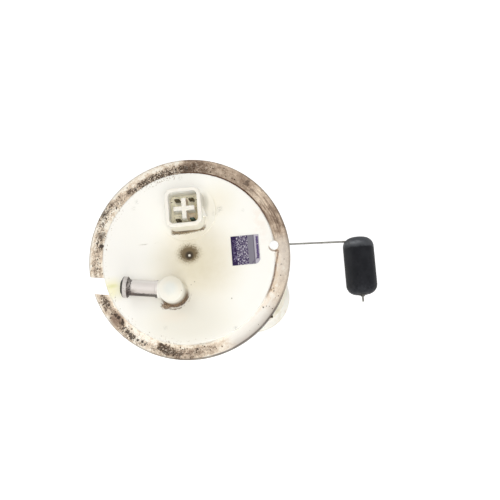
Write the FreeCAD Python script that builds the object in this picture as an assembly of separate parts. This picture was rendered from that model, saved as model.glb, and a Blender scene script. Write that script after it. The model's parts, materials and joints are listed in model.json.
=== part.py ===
"""In-tank fuel pump module: flange, filter case with turbine pump, reservoir and level sender.

Millimetres. Z = 0 is the underside of the flange rim, where the module seats on the tank,
and +Z points out of the tank along the flange axis. +X points towards the float.
"""
import FreeCAD
import Part
import math
import os

Vec = FreeCAD.Vector
UP = Vec(0, 0, 1)

# Pump body, and the tube of the filter case that holds it
can_d = 38.0
can_wall = 1.0
can_len = 66.0
can_lip = 1.8
tube_play = 0.4
case_wall = 1.8

# Filter case, two lobes either side of the flange axis: pump tube and filter chamber
case_top = -26.0
case_tail = 16.0
case_floor = 2.5
lobe_y = -3.5
lobe_gap = 1.8
tube_inset = 2.3
face_cut = 10.7
corner_r = 5.0
web_w = 6.0
pump_drop = 20.0

# Reservoir cup round the foot of the case
cup_clear = 0.8
cup_wall = 2.0
cup_rise = 18.0
cup_drop = 18.0
cup_floor = 2.0
cup_lip = 0.8
foot_h = 4.0
foot_d = 9.0
foot_inset = 9.0
foot_out = 6.0
hook_out = 1.6
hook_w = 7.0
hook_h = 4.0
hook_play = 0.4
cup_hook_rise = 7.0

# Legs from the flange down the outside of the case
leg_play = 0.3
leg_t = 2.8
leg_root = 0.5
leg_reach = 34.0
leg_hook_rise = 6.0
leg_half_angle = 26.0
front_leg_x = 12.0
front_leg_w = 18.0

# Flange plate, sized outwards from the legs
spigot_wall = 2.5
spigot_depth = 12.0
spigot_chamfer = 1.0
plateau_over = 1.7
plateau_rise = 2.0
plateau_edge = 0.6
rim_w = 8.5
rim_t = 3.5
rim_edge = 0.5
plate_t = 3.0
seal_cord = 2.6
seal_z = -5.0
seal_groove = 1.0
seal_play = 0.05
seal_room = 0.3
notch_w = 10.2
notch_in = 5.0
notch_y = -11.2
notch_floor_gap = 0.2
stud_in = 0.3
stud_y = 2.4
stud_d = 5.5
stud_h = 1.5
gate_x = 0.8
gate_y = 1.4
gate_d = 3.2
gate_depth = 0.4
gate_pip_d = 1.2
rib_t = 1.6
rib_depth = 3.5
rib_count = 12
rib_len = 17.0

# Outlet elbow
outlet_x = -9.6
outlet_y = -19.8
outlet_turn = 171.2
elbow_foot_d = 16.4
elbow_d = 15.4
elbow_h = 15.0
elbow_round = 1.2
dome_rise = 1.3
spout_z = 15.0
spout_d = 9.49
spout_bore = 6.4
spout_neck_d = 10.6
spout_neck_end = 9.0
collar_start = 25.4
collar_d = 12.5
collar_w = 3.5
collar_edge = 0.6
nose_d = 8.8
nose_len = 1.0

# Harness socket
socket_x = 0.9
socket_y = 27.7
socket_in_x = 17.0
socket_in_y = 18.8
socket_corner = 2.6
socket_wall = 2.3
socket_h = 14.6
socket_floor = 1.6
socket_edge = 0.7
pad_d = 35.0
pad_h = 1.0
pad_in = 1.5
latch_y = 25.2
latch_w = 6.2
latch_out = 1.9
latch_low = 5.0
latch_high = 11.0
cross_span = 12.4
cross_t = 2.6
cross_taper = 0.5
cross_drop = 4.2
pin_gap_x = 8.4
pin_gap_y = 11.9
pin_w = 2.8
pin_t = 0.8
pin_top_drop = 6.0
pin_tail = 7.0
pin_point = 0.7

# Label
label_x = 34.2
label_y = 1.4
label_w = 16.6
label_h = 17.4
label_t = 0.15
label_torn = 2.4

# Riser pipe between case cover and outlet elbow
riser_d = 8.0
riser_bore = 6.0
riser_bead = 0.8
riser_socket_d = 10.4
riser_socket_wall = 2.2
flange_socket_depth = 9.0
riser_socket_floor = 0.5
riser_gap = 2.0
riser_play = 0.8
ring_seat = 4.0

# Case cover
cover_t = 2.8
cover_socket_depth = 6.5
duct_rise = 9.0
duct_skin = 1.7
duct_r = 4.6
duct_bore_r = 2.5
dirty_port_x = 5.0
nipple_socket_d = 10.8
nipple_socket_wall = 1.6
lead_hole_w = 9.0
lead_hole_l = 16.0

# Motor and pump stage
part_gap = 0.3
shaft_d = 3.2
shaft_play = 0.03
bush_d = 8.0
bush_len = 4.0
nipple_offset = 9.0
nipple_d = 8.0
nipple_bore = 5.6
nipple_rise = 17.0
cap_rise = 4.0
cap_depth = 10.0
terminal_offset = -9.0
terminal_gap = 10.0
terminal_d = 1.8
terminal_rise = 10.0
magnet_t = 2.6
magnet_over = 8.0
magnet_angle = 140.0
air_gap = 0.6
motor_room = 44.0
slot_count = 8
slot_r = 3.0
slot_cover = 1.4
slot_mouth = 1.6
coil_end = 3.6
commutator_d = 18.0
commutator_t = 3.4
brush_w = 4.0
brush_l = 5.6
brush_h = 6.0
brush_play = 0.15
brush_radius = 6.6
brush_spring_h = 5.0
brush_spring_r = 1.5
brush_wire_r = 0.25
brush_turns = 3.5
impeller_edge = 3.0
impeller_t = 3.6
impeller_play = 0.3
vane_count = 36
vane_depth = 2.2
housing_t = 5.0
inlet_t = 7.0
inlet_offset = 8.0
inlet_d = 10.0
inlet_bore = 6.4
inlet_tail = 14.0
channel_r = 1.6
channel_stop = 50.0

# Check valve in the pump's outlet nipple
seat_drop = 9.0
seat_bore = 3.0
valve_gap = 0.2
valve_d = 4.4
valve_t = 1.2
stem_d = 1.4
stem_play = 0.08
stop_t = 1.6
stop_drop = 0.6
valve_spring_r = 1.45
valve_wire_r = 0.2
valve_turns = 4.0

# Pump retainer
cushion_t = 1.7
retainer_t = 2.5
retainer_hooks = 4
retainer_hook_w = 5.6
retainer_bar_w = 3.0
retainer_bar_y = 8.2

# Filter element
pleat_pitch = 3.0
pleat_depth = 5.2
paper_rise = 1.2
element_gap = 2.25
element_end_gap = 3.2
element_shift = -0.5
element_drop = 10.0
element_lift = 12.2
end_cap_t = 1.5
end_cap_over = 0.4
neck_offset = -6.6
neck_side = -0.65
neck_d = 8.0
neck_bore = 5.4
neck_h = 6.0
neck_socket_d = 10.4
neck_socket_wall = 1.6

# Pressure regulator
regulator_offset = 2.4
regulator_boss_h = 10.4
regulator_neck_d = 9.6
regulator_socket_d = 12.0
regulator_flange_d = 19.0
regulator_can_d = 15.0
regulator_drop = 11.0
regulator_tail_d = 4.0
regulator_tail = 2.5
clip_sheet = 0.8
clip_reach = 2.2
lug_w = 5.0

# Suction strainer
strainer_end_gap = 4.7
strainer_front_gap = 6.7
strainer_back_gap = 7.7
strainer_side_gap = 6.5
strainer_lift = 6.8
strainer_t = 5.6
strainer_skin = 0.5
strainer_corner = 7.0
strainer_neck_wall = 1.8
strainer_neck_gap = 6.0
strainer_rib_t = 1.2
strainer_rib_count = 7
strainer_spine_t = 1.6
strainer_window_w = 4.0

# Foot valve in the reservoir floor
foot_valve_out = 2.5
foot_valve_back = 9.5
foot_valve_d = 13.0
foot_valve_hole = 1.6
foot_valve_pcd = 7.4
foot_valve_stem = 2.4

# Level sender, on the flat face of the filter case
pivot_rise = 40.0
pivot_in = 5.7
plate_left = 4.8
plate_right = 5.6
plate_half = 19.0
plate_seat = 0.3
plate_edge_t = 1.6
plate_body_t = 3.2
rail_w = 1.4
rail_lip = 1.1
rail_stop = 1.5
card_edge = 1.9
card_w = 11.0
card_low = -13.5
card_high = 15.0
card_t = 0.8
card_sink = 0.2
tower_w = 14.0
tower_h = 5.0
post_d = 4.0
post_play = 0.05
hub_d = 8.4
hub_lift = 4.3
post_head_d = 5.2
post_head_t = 0.9
wiper_t = 0.3
wiper_w = 4.0
track_gap = 3.4

# Float arm. The arm is drawn at its rest angle below the horizontal
arm_y = 22.8
arm_len = 91.3
arm_drop = 15.2
wire_d = 1.3
wire_play = 0.05
wire_leg = 6.0
wire_leg_rise = 9.6
wire_bend = 2.0
wire_tail = 4.9
paddle_len = 24.0
paddle_w = 9.0
paddle_t = 4.2
clip_w = 3.0
clip_wall = 1.3
float_d = 20.6
float_len = 38.2
float_over = 2.3
float_round = 6.4
float_bore = 1.9
float_clip_d = 5.6
float_clip_t = 0.5

# Sizes that follow
can_r = can_d / 2
can_in_r = can_r - can_wall
case_in_r = can_r + tube_play
case_r = case_in_r + case_wall
lobe_x = case_r + tube_inset
pump_x = -lobe_x
pump_y = lobe_y
chamber_left = lobe_gap - tube_inset
sender_face_y = lobe_y + case_r - face_cut
face_end = lobe_x + math.sqrt(case_r ** 2 - (sender_face_y - lobe_y) ** 2)
can_top = case_top - pump_drop
can_bottom = can_top - can_len
case_bottom = can_bottom - case_tail
cover_top = case_top + cover_t
duct_top = case_top + duct_rise
duct_z = duct_top - duct_skin - duct_bore_r
cup_in_r = case_r + cup_clear
cup_r = cup_in_r + cup_wall
cup_top = case_bottom + cup_rise
cup_base = case_bottom - cup_drop
cup_floor_top = cup_base + cup_floor
cup_hook_z = case_bottom + cup_hook_rise
leg_bottom = case_top - leg_reach
leg_hook_z = leg_bottom + leg_hook_rise
spigot_in_r = lobe_x + case_r + leg_play + leg_t - leg_root
spigot_r = spigot_in_r + spigot_wall
plateau_r = spigot_r + plateau_over
rim_r = plateau_r + rim_w
plateau_top = rim_t + plateau_rise
plate_under = plateau_top - plate_t
notch_x = notch_in - rim_r
notch_floor_r = plateau_r + notch_floor_gap
stud_x = plateau_r - stud_in
socket_top = plateau_top + socket_h
cover_socket_top = -flange_socket_depth - riser_gap
nipple_x = pump_x + nipple_offset
nipple_top = can_top + nipple_rise
terminal_top = can_top + terminal_rise
seat_z = nipple_top - seat_drop
impeller_d = 2 * (can_in_r - impeller_edge)
core_len = can_len - motor_room
magnet_len = core_len + magnet_over
chamber_right = lobe_x + case_r
element_x = (chamber_left + chamber_right) / 2 + element_shift
element_y = (sender_face_y + lobe_y - case_r) / 2
element_r = (sender_face_y - lobe_y + case_r) / 2 - case_wall - element_gap
element_core_r = element_r - pleat_depth
element_half = (chamber_right - chamber_left) / 2 - case_wall - element_end_gap
element_top = case_top - element_drop
element_low = case_bottom + element_lift
neck_x = element_x + neck_offset
neck_y = element_y + neck_side
regulator_x = element_x + regulator_offset
regulator_y = element_y
regulator_boss_top = case_bottom + regulator_boss_h
regulator_low = case_bottom - regulator_drop
strainer_x0 = pump_x - case_r + strainer_end_gap
strainer_x1 = regulator_x - regulator_flange_d / 2 - strainer_side_gap
strainer_y0 = pump_y - case_r + strainer_front_gap
strainer_y1 = pump_y + case_r - strainer_back_gap
strainer_z = cup_base + strainer_lift
strainer_neck_x = pump_x + inlet_offset
strainer_neck_top = can_bottom - strainer_neck_gap
foot_valve_x = lobe_x + foot_valve_out
foot_valve_y = lobe_y + foot_valve_back
plate_x0 = chamber_left + plate_left
plate_x1 = face_end - plate_right
pivot_x = plate_x0 + pivot_in
pivot_z = case_bottom + pivot_rise
plate_z0 = pivot_z - plate_half
plate_z1 = pivot_z + plate_half
plate_front = sender_face_y + plate_seat + plate_body_t
card_x1 = plate_x1 - card_edge
card_x0 = card_x1 - card_w
card_z0 = pivot_z + card_low
card_z1 = pivot_z + card_high
track_r = (card_x0 + card_x1) / 2 - pivot_x
hub_start = sender_face_y + hub_lift
wire_r = wire_d / 2
wire_leg_end = sender_face_y + wire_leg_rise
float_top = arm_y + float_over


def disc(radius, low, high, x=0.0, y=0.0):
    return Part.makeCylinder(radius, high - low, Vec(x, y, low))


def ring(outer, inner, low, high, x=0.0, y=0.0):
    return disc(outer, low, high, x, y).cut(disc(inner, low - 1, high + 1, x, y))


def turned(profile, x=0.0, y=0.0):
    """A solid of revolution from (radius, height) points."""
    points = [Vec(r, 0, z) for r, z in profile]
    face = Part.Face(Part.makePolygon(points + points[:1]))
    solid = face.revolve(Vec(0, 0, 0), UP, 360)
    solid.translate(Vec(x, y, 0))
    return solid


def loop(points):
    """A closed wire of straight runs; a third vector in an entry makes that run an arc."""
    edges = []
    for here, there in zip(points, points[1:] + points[:1]):
        start, end = here[0], there[0]
        if len(here) > 1:
            edges.append(Part.Arc(start, here[1], end).toShape())
        elif start.distanceToPoint(end) > 1e-6:
            edges.append(Part.LineSegment(start, end).toShape())
    return Part.Wire(edges)


def rounded_box(x0, x1, y0, y1, low, high, radius):
    box = Part.makeBox(x1 - x0, y1 - y0, high - low, Vec(x0, y0, low))
    upright = [edge for edge in box.Edges if abs(edge.tangentAt(0).z) > 0.9]
    return box.makeFillet(radius, upright)


def round_edges(solid, radius, wanted):
    edges = [edge for edge in solid.Edges if wanted(edge)]
    return solid.makeFillet(radius, edges)


def stadium(half, radius, low, high, x=0.0, y=0.0):
    """An upright slab with round ends along X."""
    right, left = Vec(x + half, y, low), Vec(x - half, y, low)
    side, end = Vec(0, radius, 0), Vec(radius, 0, 0)
    wire = loop([
        (right - side, right + end),
        (right + side,),
        (left + side, left - end),
        (left - side,),
    ])
    return Part.Face(wire).extrude(Vec(0, 0, high - low))


def ring_cord(major, minor, z, x=0.0, y=0.0):
    return Part.makeTorus(major, minor, Vec(x, y, z))


def coil_spring(radius, wire_r, low, high, turns, x, y):
    height = high - low - 2 * wire_r
    path = Part.makeHelix(height / turns, height, radius)
    start = Part.Wire(Part.makeCircle(wire_r, Vec(radius, 0, 0), Vec(0, 1, 0)))
    spring = Part.Wire(path.Edges).makePipeShell([start], True, True)
    spring.translate(Vec(x, y, low + wire_r))
    return spring


def along_spout(profile):
    """A turned solid whose heights run outwards along the spout's axis."""
    solid = turned(profile)
    solid.rotate(Vec(0, 0, 0), Vec(0, 1, 0), 90)
    solid.rotate(Vec(0, 0, 0), UP, outlet_turn)
    solid.translate(Vec(outlet_x, outlet_y, spout_z))
    return solid


def fuse_all(first, others):
    return first.fuse(list(others)).removeSplitter()


def cut_all(solid, tools):
    return solid.cut(list(tools))


# Flange


def flange_body():
    """Plate, rim and spigot in one turning, with the seal's groove round the spigot."""
    groove_r = spigot_r - seal_groove
    groove_half = seal_cord / 2 + seal_room
    return turned([
        (0, plate_under),
        (spigot_in_r, plate_under),
        (spigot_in_r, -spigot_depth),
        (spigot_r - spigot_chamfer, -spigot_depth),
        (spigot_r, spigot_chamfer - spigot_depth),
        (spigot_r, seal_z - groove_half),
        (groove_r, seal_z - groove_half),
        (groove_r, seal_z + groove_half),
        (spigot_r, seal_z + groove_half),
        (spigot_r, 0),
        (rim_r, 0),
        (rim_r, rim_t - rim_edge),
        (rim_r - rim_edge, rim_t),
        (plateau_r, rim_t),
        (plateau_r, plateau_top - plateau_edge),
        (plateau_r - plateau_edge, plateau_top),
        (0, plateau_top),
    ])


def rim_notch():
    """A slot through the rim, in line with the outlet, that clears the fuel line's clip."""
    length = rim_r
    slot = Part.makeBox(length, notch_w, 3 * rim_t, Vec(0, -notch_w / 2, -rim_t))
    slot.rotate(Vec(0, 0, 0), UP, outlet_turn)
    slot.translate(Vec(notch_x, notch_y, 0))
    inward = Part.makeBox(length, notch_w, 3 * rim_t, Vec(-length, -notch_w / 2, -rim_t))
    inward.rotate(Vec(0, 0, 0), UP, outlet_turn)
    inward.translate(Vec(notch_x, notch_y, 0))
    return slot.fuse(inward).cut(disc(notch_floor_r, -3 * rim_t, 3 * rim_t))


def elbow_solid():
    top = plateau_top + elbow_h
    radius = elbow_d / 2
    cap = radius - elbow_round
    root = plate_under + 1
    diagonal = elbow_round * math.sqrt(0.5)
    sphere_r = (cap ** 2 + dome_rise ** 2) / (2 * dome_rise)
    half_turn = math.asin(cap / sphere_r) / 2
    dome_mid = Vec(sphere_r * math.sin(half_turn), 0,
                   top + dome_rise - sphere_r * (1 - math.cos(half_turn)))
    dome = loop([
        (Vec(0, 0, root),),
        (Vec(elbow_foot_d / 2, 0, root),),
        (Vec(elbow_foot_d / 2, 0, plateau_top + elbow_round),),
        (Vec(radius, 0, plateau_top + 2 * elbow_round),),
        (Vec(radius, 0, top - elbow_round), Vec(cap + diagonal, 0, top - elbow_round + diagonal)),
        (Vec(cap, 0, top), dome_mid),
        (Vec(0, 0, top + dome_rise),),
    ])
    elbow = Part.Face(dome).revolve(Vec(0, 0, 0), UP, 360)
    elbow.translate(Vec(outlet_x, outlet_y, 0))
    tube_r = spout_d / 2
    neck_r = spout_neck_d / 2
    collar_r = collar_d / 2
    collar_end = collar_start + collar_w
    nose_end = collar_end + nose_len
    spout = along_spout([
        (0, 0),
        (neck_r, 0),
        (neck_r, spout_neck_end),
        (tube_r, spout_neck_end + 0.6),
        (tube_r, collar_start),
        (collar_r - collar_edge, collar_start),
        (collar_r, collar_start + collar_edge),
        (collar_r, collar_end - collar_edge),
        (collar_r - collar_edge, collar_end),
        (nose_d / 2, collar_end),
        (nose_d / 2, nose_end - 0.5),
        (nose_d / 2 - 0.5, nose_end),
        (0, nose_end),
    ])
    socket_r = riser_socket_d / 2 + riser_socket_wall
    socket = disc(socket_r, -flange_socket_depth, plateau_top - 1, outlet_x, outlet_y)
    return elbow.fuse([spout, socket])


def elbow_bore():
    bore_r = spout_bore / 2
    end = collar_start + collar_w + nose_len + 1
    level = along_spout([(0, 0), (bore_r, 0), (bore_r, end), (0, end)])
    upright = disc(bore_r, -1, spout_z, outlet_x, outlet_y)
    corner = Part.makeSphere(bore_r, Vec(outlet_x, outlet_y, spout_z))
    socket_r = riser_socket_d / 2
    socket = disc(socket_r, -flange_socket_depth - 1, -riser_socket_floor, outlet_x, outlet_y)
    return [level, upright, corner, socket]


def harness_socket():
    x0, x1 = socket_x - socket_in_x / 2, socket_x + socket_in_x / 2
    y0, y1 = socket_y - socket_in_y / 2, socket_y + socket_in_y / 2
    wall = socket_wall
    outer = rounded_box(x0 - wall, x1 + wall, y0 - wall, y1 + wall, plate_under + 1, socket_top,
                        socket_corner + wall)
    outer = round_edges(outer, socket_edge, lambda edge: edge.CenterOfMass.z > socket_top - 0.01)
    pad = disc(pad_d / 2, plate_under + 1, plateau_top + pad_h, socket_x, socket_y)
    pad = pad.common(disc(plateau_r - pad_in, 0, socket_top))
    cavity_floor = plateau_top + socket_floor
    cavity = rounded_box(x0, x1, y0, y1, cavity_floor, socket_top + 1, socket_corner)
    return outer.fuse(pad), cavity


def latch_wedge():
    """The ramp on the socket's side that the plug's arm snaps over."""
    wall_x = socket_x + socket_in_x / 2 + socket_wall
    root = wall_x - 0.8
    low, high = plateau_top + latch_low, plateau_top + latch_high
    y0, y1 = latch_y - latch_w / 2, latch_y + latch_w / 2
    face = Part.Face(Part.makePolygon([
        Vec(root, y0, low),
        Vec(wall_x + latch_out, y0, low),
        Vec(wall_x + latch_out, y0 + 0.8, low),
        Vec(wall_x, y1, low),
        Vec(root, y1, low),
        Vec(root, y0, low),
    ]))
    wedge = face.extrude(Vec(0, 0, high - low))
    ramp = Part.Face(Part.makePolygon([
        Vec(wall_x, y0 - 1, high),
        Vec(wall_x + latch_out + 1, y0 - 1, high),
        Vec(wall_x + latch_out + 1, y0 - 1, high - 2.5),
        Vec(wall_x, y0 - 1, high),
    ])).extrude(Vec(0, latch_w + 2, 0))
    return wedge.cut(ramp)


def socket_cross():
    """The keying post in the socket: two drafted blades crossed between the four pins."""
    low, high = plateau_top, socket_top - cross_drop
    blades = []
    for span_x, span_y in ((cross_span, cross_t), (cross_t, cross_span)):
        half_x, half_y = span_x / 2, span_y / 2
        foot = box_outline(socket_x, socket_y, half_x + cross_taper, half_y + cross_taper, low)
        head = box_outline(socket_x, socket_y, half_x, half_y, high)
        blades.append(Part.makeLoft([foot, head], True, True))
    return blades[0].fuse(blades[1])


def box_outline(x, y, half_x, half_y, z):
    corners = [Vec(x + side_x * half_x, y + side_y * half_y, z)
               for side_x, side_y in ((-1, -1), (1, -1), (1, 1), (-1, 1))]
    return Part.makePolygon(corners + corners[:1])


def leg_wall(x, middle_angle):
    inner = case_r + leg_play
    outer = inner + leg_t
    wall = ring(outer, inner, leg_bottom, plate_under + 1, x, lobe_y)
    span = 2 * leg_half_angle
    wedge = Part.makeCylinder(outer + 1, plate_under + 1 - leg_bottom, Vec(x, lobe_y, leg_bottom), UP, span)
    wedge.rotate(Vec(x, lobe_y, 0), UP, middle_angle - leg_half_angle)
    return wall.common(wedge)


def front_leg():
    face_y = lobe_y - case_r - leg_play
    height = plate_under + 1 - leg_bottom
    corner = Vec(front_leg_x - front_leg_w / 2, face_y - leg_t, leg_bottom)
    return Part.makeBox(front_leg_w, leg_t, height, corner)


def hook_block(width, depth, height, play=0.0):
    """A block along +X from the wall, with the play added all round where it is a window."""
    corner = Vec(-play, -width / 2 - play, -height / 2 - play)
    return Part.makeBox(depth + 2 * play, width + 2 * play, height + 2 * play, corner)


def place_on_case(block, wall, z):
    """Move a block from +X onto one of the case's three outer walls."""
    if wall == "left":
        block.rotate(Vec(0, 0, 0), UP, 180)
        block.translate(Vec(pump_x - case_r, lobe_y, z))
    elif wall == "right":
        block.translate(Vec(lobe_x + case_r, lobe_y, z))
    else:
        block.rotate(Vec(0, 0, 0), UP, -90)
        block.translate(Vec(front_leg_x, lobe_y - case_r, z))
    return block


def case_hook(wall, z, gap):
    """A snap hook that leans out of the case across the gap and into the wall round it."""
    depth = gap + hook_out
    root = 0.6
    half = hook_h / 2
    face = Part.Face(Part.makePolygon([
        Vec(-root, -hook_w / 2, -half),
        Vec(depth, -hook_w / 2, -half),
        Vec(depth, -hook_w / 2, 0),
        Vec(0.2, -hook_w / 2, half),
        Vec(-root, -hook_w / 2, half),
        Vec(-root, -hook_w / 2, -half),
    ]))
    return place_on_case(face.extrude(Vec(0, hook_w, 0)), wall, z)


def hook_window(wall, z, gap, thick):
    block = hook_block(hook_w, gap + thick + 1, hook_h, hook_play)
    return place_on_case(block, wall, z)


def plate_ribs():
    """Radial ribs under the plate, just inside the spigot, clear of the legs and the elbow."""
    ribs = []
    low = plate_under - rib_depth
    corner = Vec(spigot_in_r - rib_len, -rib_t / 2, low)
    for index in range(rib_count):
        rib = Part.makeBox(rib_len, rib_t, rib_depth + 1, corner)
        rib.rotate(Vec(0, 0, 0), UP, 360.0 * (index + 0.5) / rib_count)
        ribs.append(rib)
    return ribs


def flange():
    shroud, cavity = harness_socket()
    legs = [leg_wall(pump_x, 180), leg_wall(lobe_x, 0), front_leg()]
    stud = disc(stud_d / 2, rim_t - 1, plateau_top + stud_h, stud_x, stud_y)
    stud = round_edges(stud, 0.4, lambda edge: edge.CenterOfMass.z > plateau_top + stud_h - 0.01)
    body = fuse_all(flange_body(), [elbow_solid(), shroud, latch_wedge(), stud] + legs + plate_ribs())
    windows = [hook_window(wall, leg_hook_z, leg_play, leg_t) for wall in ("left", "right", "front")]
    gate = ring(gate_d / 2, gate_pip_d / 2, plateau_top - gate_depth, plateau_top + 1, gate_x, gate_y)
    body = cut_all(body, [cavity, rim_notch(), gate] + windows + elbow_bore())
    body = body.fuse(socket_cross()).removeSplitter()
    return cut_all(body, pin_blades(0.02))


def pin_blades(play=0.0):
    """Four blades, point upwards, through the socket's floor to the inner harness."""
    blades = []
    half_w, half_t = pin_w / 2 + play, pin_t / 2 + play
    low = plate_under - pin_tail
    high = socket_top - pin_top_drop
    for side in (-0.5, 0.5):
        for row in (-0.5, 0.5):
            x = socket_x + side * pin_gap_x
            y = socket_y + row * pin_gap_y
            face = Part.Face(Part.makePolygon([
                Vec(x - half_w, y - half_t, low),
                Vec(x + half_w, y - half_t, low),
                Vec(x + half_w, y - half_t, high - pin_point),
                Vec(x + half_w - pin_point, y - half_t, high),
                Vec(x - half_w + pin_point, y - half_t, high),
                Vec(x - half_w, y - half_t, high - pin_point),
                Vec(x - half_w, y - half_t, low),
            ]))
            blades.append(face.extrude(Vec(0, 2 * half_t, 0)))
    return blades


def connector_pins():
    return Part.makeCompound(pin_blades())


def label():
    x0, x1 = label_x - label_w / 2, label_x + label_w / 2
    y0, y1 = label_y - label_h / 2, label_y + label_h / 2
    torn = label_torn
    face = Part.Face(Part.makePolygon([
        Vec(x0, y0, plateau_top),
        Vec(x1 - torn, y0, plateau_top),
        Vec(x1 - 0.45 * torn, y0 + 0.3 * torn, plateau_top),
        Vec(x1, y0 + torn, plateau_top),
        Vec(x1, y1, plateau_top),
        Vec(x0, y1, plateau_top),
        Vec(x0, y0, plateau_top),
    ]))
    return face.extrude(Vec(0, 0, label_t))


def flange_seal():
    """An O-ring as fitted in the spigot's groove, before the tank's neck presses it."""
    minor = seal_cord / 2
    return ring_cord(spigot_r - seal_groove + seal_play + minor, minor, seal_z)


# Riser pipe


def riser_ends():
    return cover_socket_top - cover_socket_depth + riser_play, -riser_socket_floor - riser_play


def riser_pipe():
    low, high = riser_ends()
    pipe = ring(riser_d / 2, riser_bore / 2, low, high, outlet_x, outlet_y)
    bead_z = (cover_socket_top - flange_socket_depth) / 2
    bead = ring(riser_d / 2 + riser_bead, riser_bore / 2, bead_z - 0.5, bead_z + 0.5, outlet_x, outlet_y)
    return pipe.fuse(bead).removeSplitter()


def riser_o_rings():
    minor = (riser_socket_d - riser_d) / 4
    major = (riser_socket_d + riser_d) / 4
    low = ring_cord(major, minor, cover_socket_top - ring_seat, outlet_x, outlet_y)
    high = ring_cord(major, minor, -flange_socket_depth + ring_seat, outlet_x, outlet_y)
    return Part.makeCompound([low, high])


# Filter case: pump tube on the left, filter chamber on the right


def chamber_outline(inset, low, high):
    """The filter chamber in plan: flat to the sender, round to the right, less an inset."""
    radius = case_r - inset
    top = sender_face_y - inset
    left = chamber_left + inset
    bottom = lobe_y - radius
    reach = math.sqrt(radius ** 2 - (top - lobe_y) ** 2)
    middle = Vec(lobe_x, lobe_y, low)
    fillet = corner_r - inset
    diagonal = fillet * (1 - math.sqrt(0.5))
    turn = math.radians(-30)
    wire = loop([
        (Vec(left + fillet, bottom, low),),
        (Vec(lobe_x, bottom, low), middle + Vec(radius * math.cos(turn), radius * math.sin(turn), 0)),
        (Vec(lobe_x + reach, top, low),),
        (Vec(left + fillet, top, low), Vec(left + diagonal, top - diagonal, low)),
        (Vec(left, top - fillet, low),),
        (Vec(left, bottom + fillet, low), Vec(left + diagonal, bottom + diagonal, low)),
    ])
    return Part.Face(wire).extrude(Vec(0, 0, high - low))


def sender_rails():
    """Two lipped rails on the chamber's flat face, with a stop, that take the sender's plate."""
    face_y = sender_face_y
    depth = plate_seat + plate_edge_t + part_gap + 1.4
    height = plate_z1 - plate_z0
    lip_y = face_y + plate_seat + plate_edge_t + part_gap
    left_x = plate_x0 - part_gap - rail_w
    right_x = plate_x1 + part_gap
    left = Part.makeBox(rail_w, depth + 0.5, height, Vec(left_x, face_y - 0.5, plate_z0))
    left_lip = Part.makeBox(rail_w + rail_lip + part_gap, face_y + depth - lip_y, height,
                            Vec(left_x, lip_y, plate_z0))
    right = Part.makeBox(rail_w, depth + 0.5, height, Vec(right_x, face_y - 0.5, plate_z0))
    right_lip = Part.makeBox(rail_w + rail_lip + part_gap, face_y + depth - lip_y, height,
                             Vec(right_x - rail_lip - part_gap, lip_y, plate_z0))
    stop = Part.makeBox(right_x + rail_w - left_x, plate_edge_t + 0.5, rail_stop,
                        Vec(left_x, face_y - 0.5, plate_z0 - rail_stop - part_gap))
    return [left, left_lip, right, right_lip, stop]


def retainer_windows():
    windows = []
    for index in range(retainer_hooks):
        block = hook_block(retainer_hook_w + 0.4, case_wall + 1, retainer_t, hook_play)
        block.translate(Vec(case_in_r - 0.5, 0, can_bottom - cushion_t - retainer_t / 2))
        block.rotate(Vec(0, 0, 0), UP, 45 + 360.0 * index / retainer_hooks)
        block.translate(Vec(pump_x, pump_y, 0))
        windows.append(block)
    return windows


def filter_case():
    tube_low = cup_hook_z - hook_h / 2 - 1.5
    pump_tube = disc(case_r, tube_low, case_top, pump_x, pump_y)
    chamber = chamber_outline(0, case_bottom, case_top)
    web = Part.makeBox(lobe_x, web_w, case_top - tube_low, Vec(-lobe_x / 2, lobe_y - web_w / 2, tube_low))
    shell = fuse_all(pump_tube, [chamber, web] + sender_rails())
    bore = disc(case_in_r, tube_low - 1, case_top + 1, pump_x, pump_y)
    hollow = chamber_outline(case_wall, case_bottom + case_floor, case_top + 1)
    boss = disc(regulator_socket_d / 2 + case_wall, case_bottom, regulator_boss_top,
                regulator_x, regulator_y)
    ledge = ring(case_r - 0.2, can_r - can_lip, can_top + part_gap, can_top + part_gap + 1.5,
                 pump_x, pump_y)
    shell = fuse_all(cut_all(shell, [bore, hollow]), [boss, ledge])
    socket = disc(regulator_socket_d / 2, case_bottom - 1, regulator_boss_top - 1.5,
                  regulator_x, regulator_y)
    port = disc(2.5, case_bottom - 1, regulator_boss_top + 1, regulator_x, regulator_y)
    hooks = [case_hook(wall, leg_hook_z, leg_play) for wall in ("left", "right", "front")]
    hooks += [case_hook(wall, cup_hook_z, cup_clear) for wall in ("left", "right")]
    shell = fuse_all(shell, hooks + regulator_lugs())
    return cut_all(shell, [socket, port] + retainer_windows())


def duct(start, end, radius, z):
    """A level round duct between two points in plan."""
    run = Vec(end[0] - start[0], end[1] - start[1], 0)
    return Part.makeCylinder(radius, run.Length, Vec(start[0], start[1], z), run)


def duct_body(start, end):
    """The moulded ridge over a duct: round ends in plan and a rounded top."""
    run = Vec(end[0] - start[0], end[1] - start[1], 0)
    ridge = stadium(run.Length / 2, duct_r, case_top + 0.5, duct_top)
    ridge = round_edges(ridge, 1.8, lambda edge: edge.CenterOfMass.z > duct_top - 0.01)
    ridge.rotate(Vec(0, 0, 0), UP, math.degrees(math.atan2(run.y, run.x)))
    ridge.translate(Vec((start[0] + end[0]) / 2, (start[1] + end[1]) / 2, 0))
    return ridge


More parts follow.
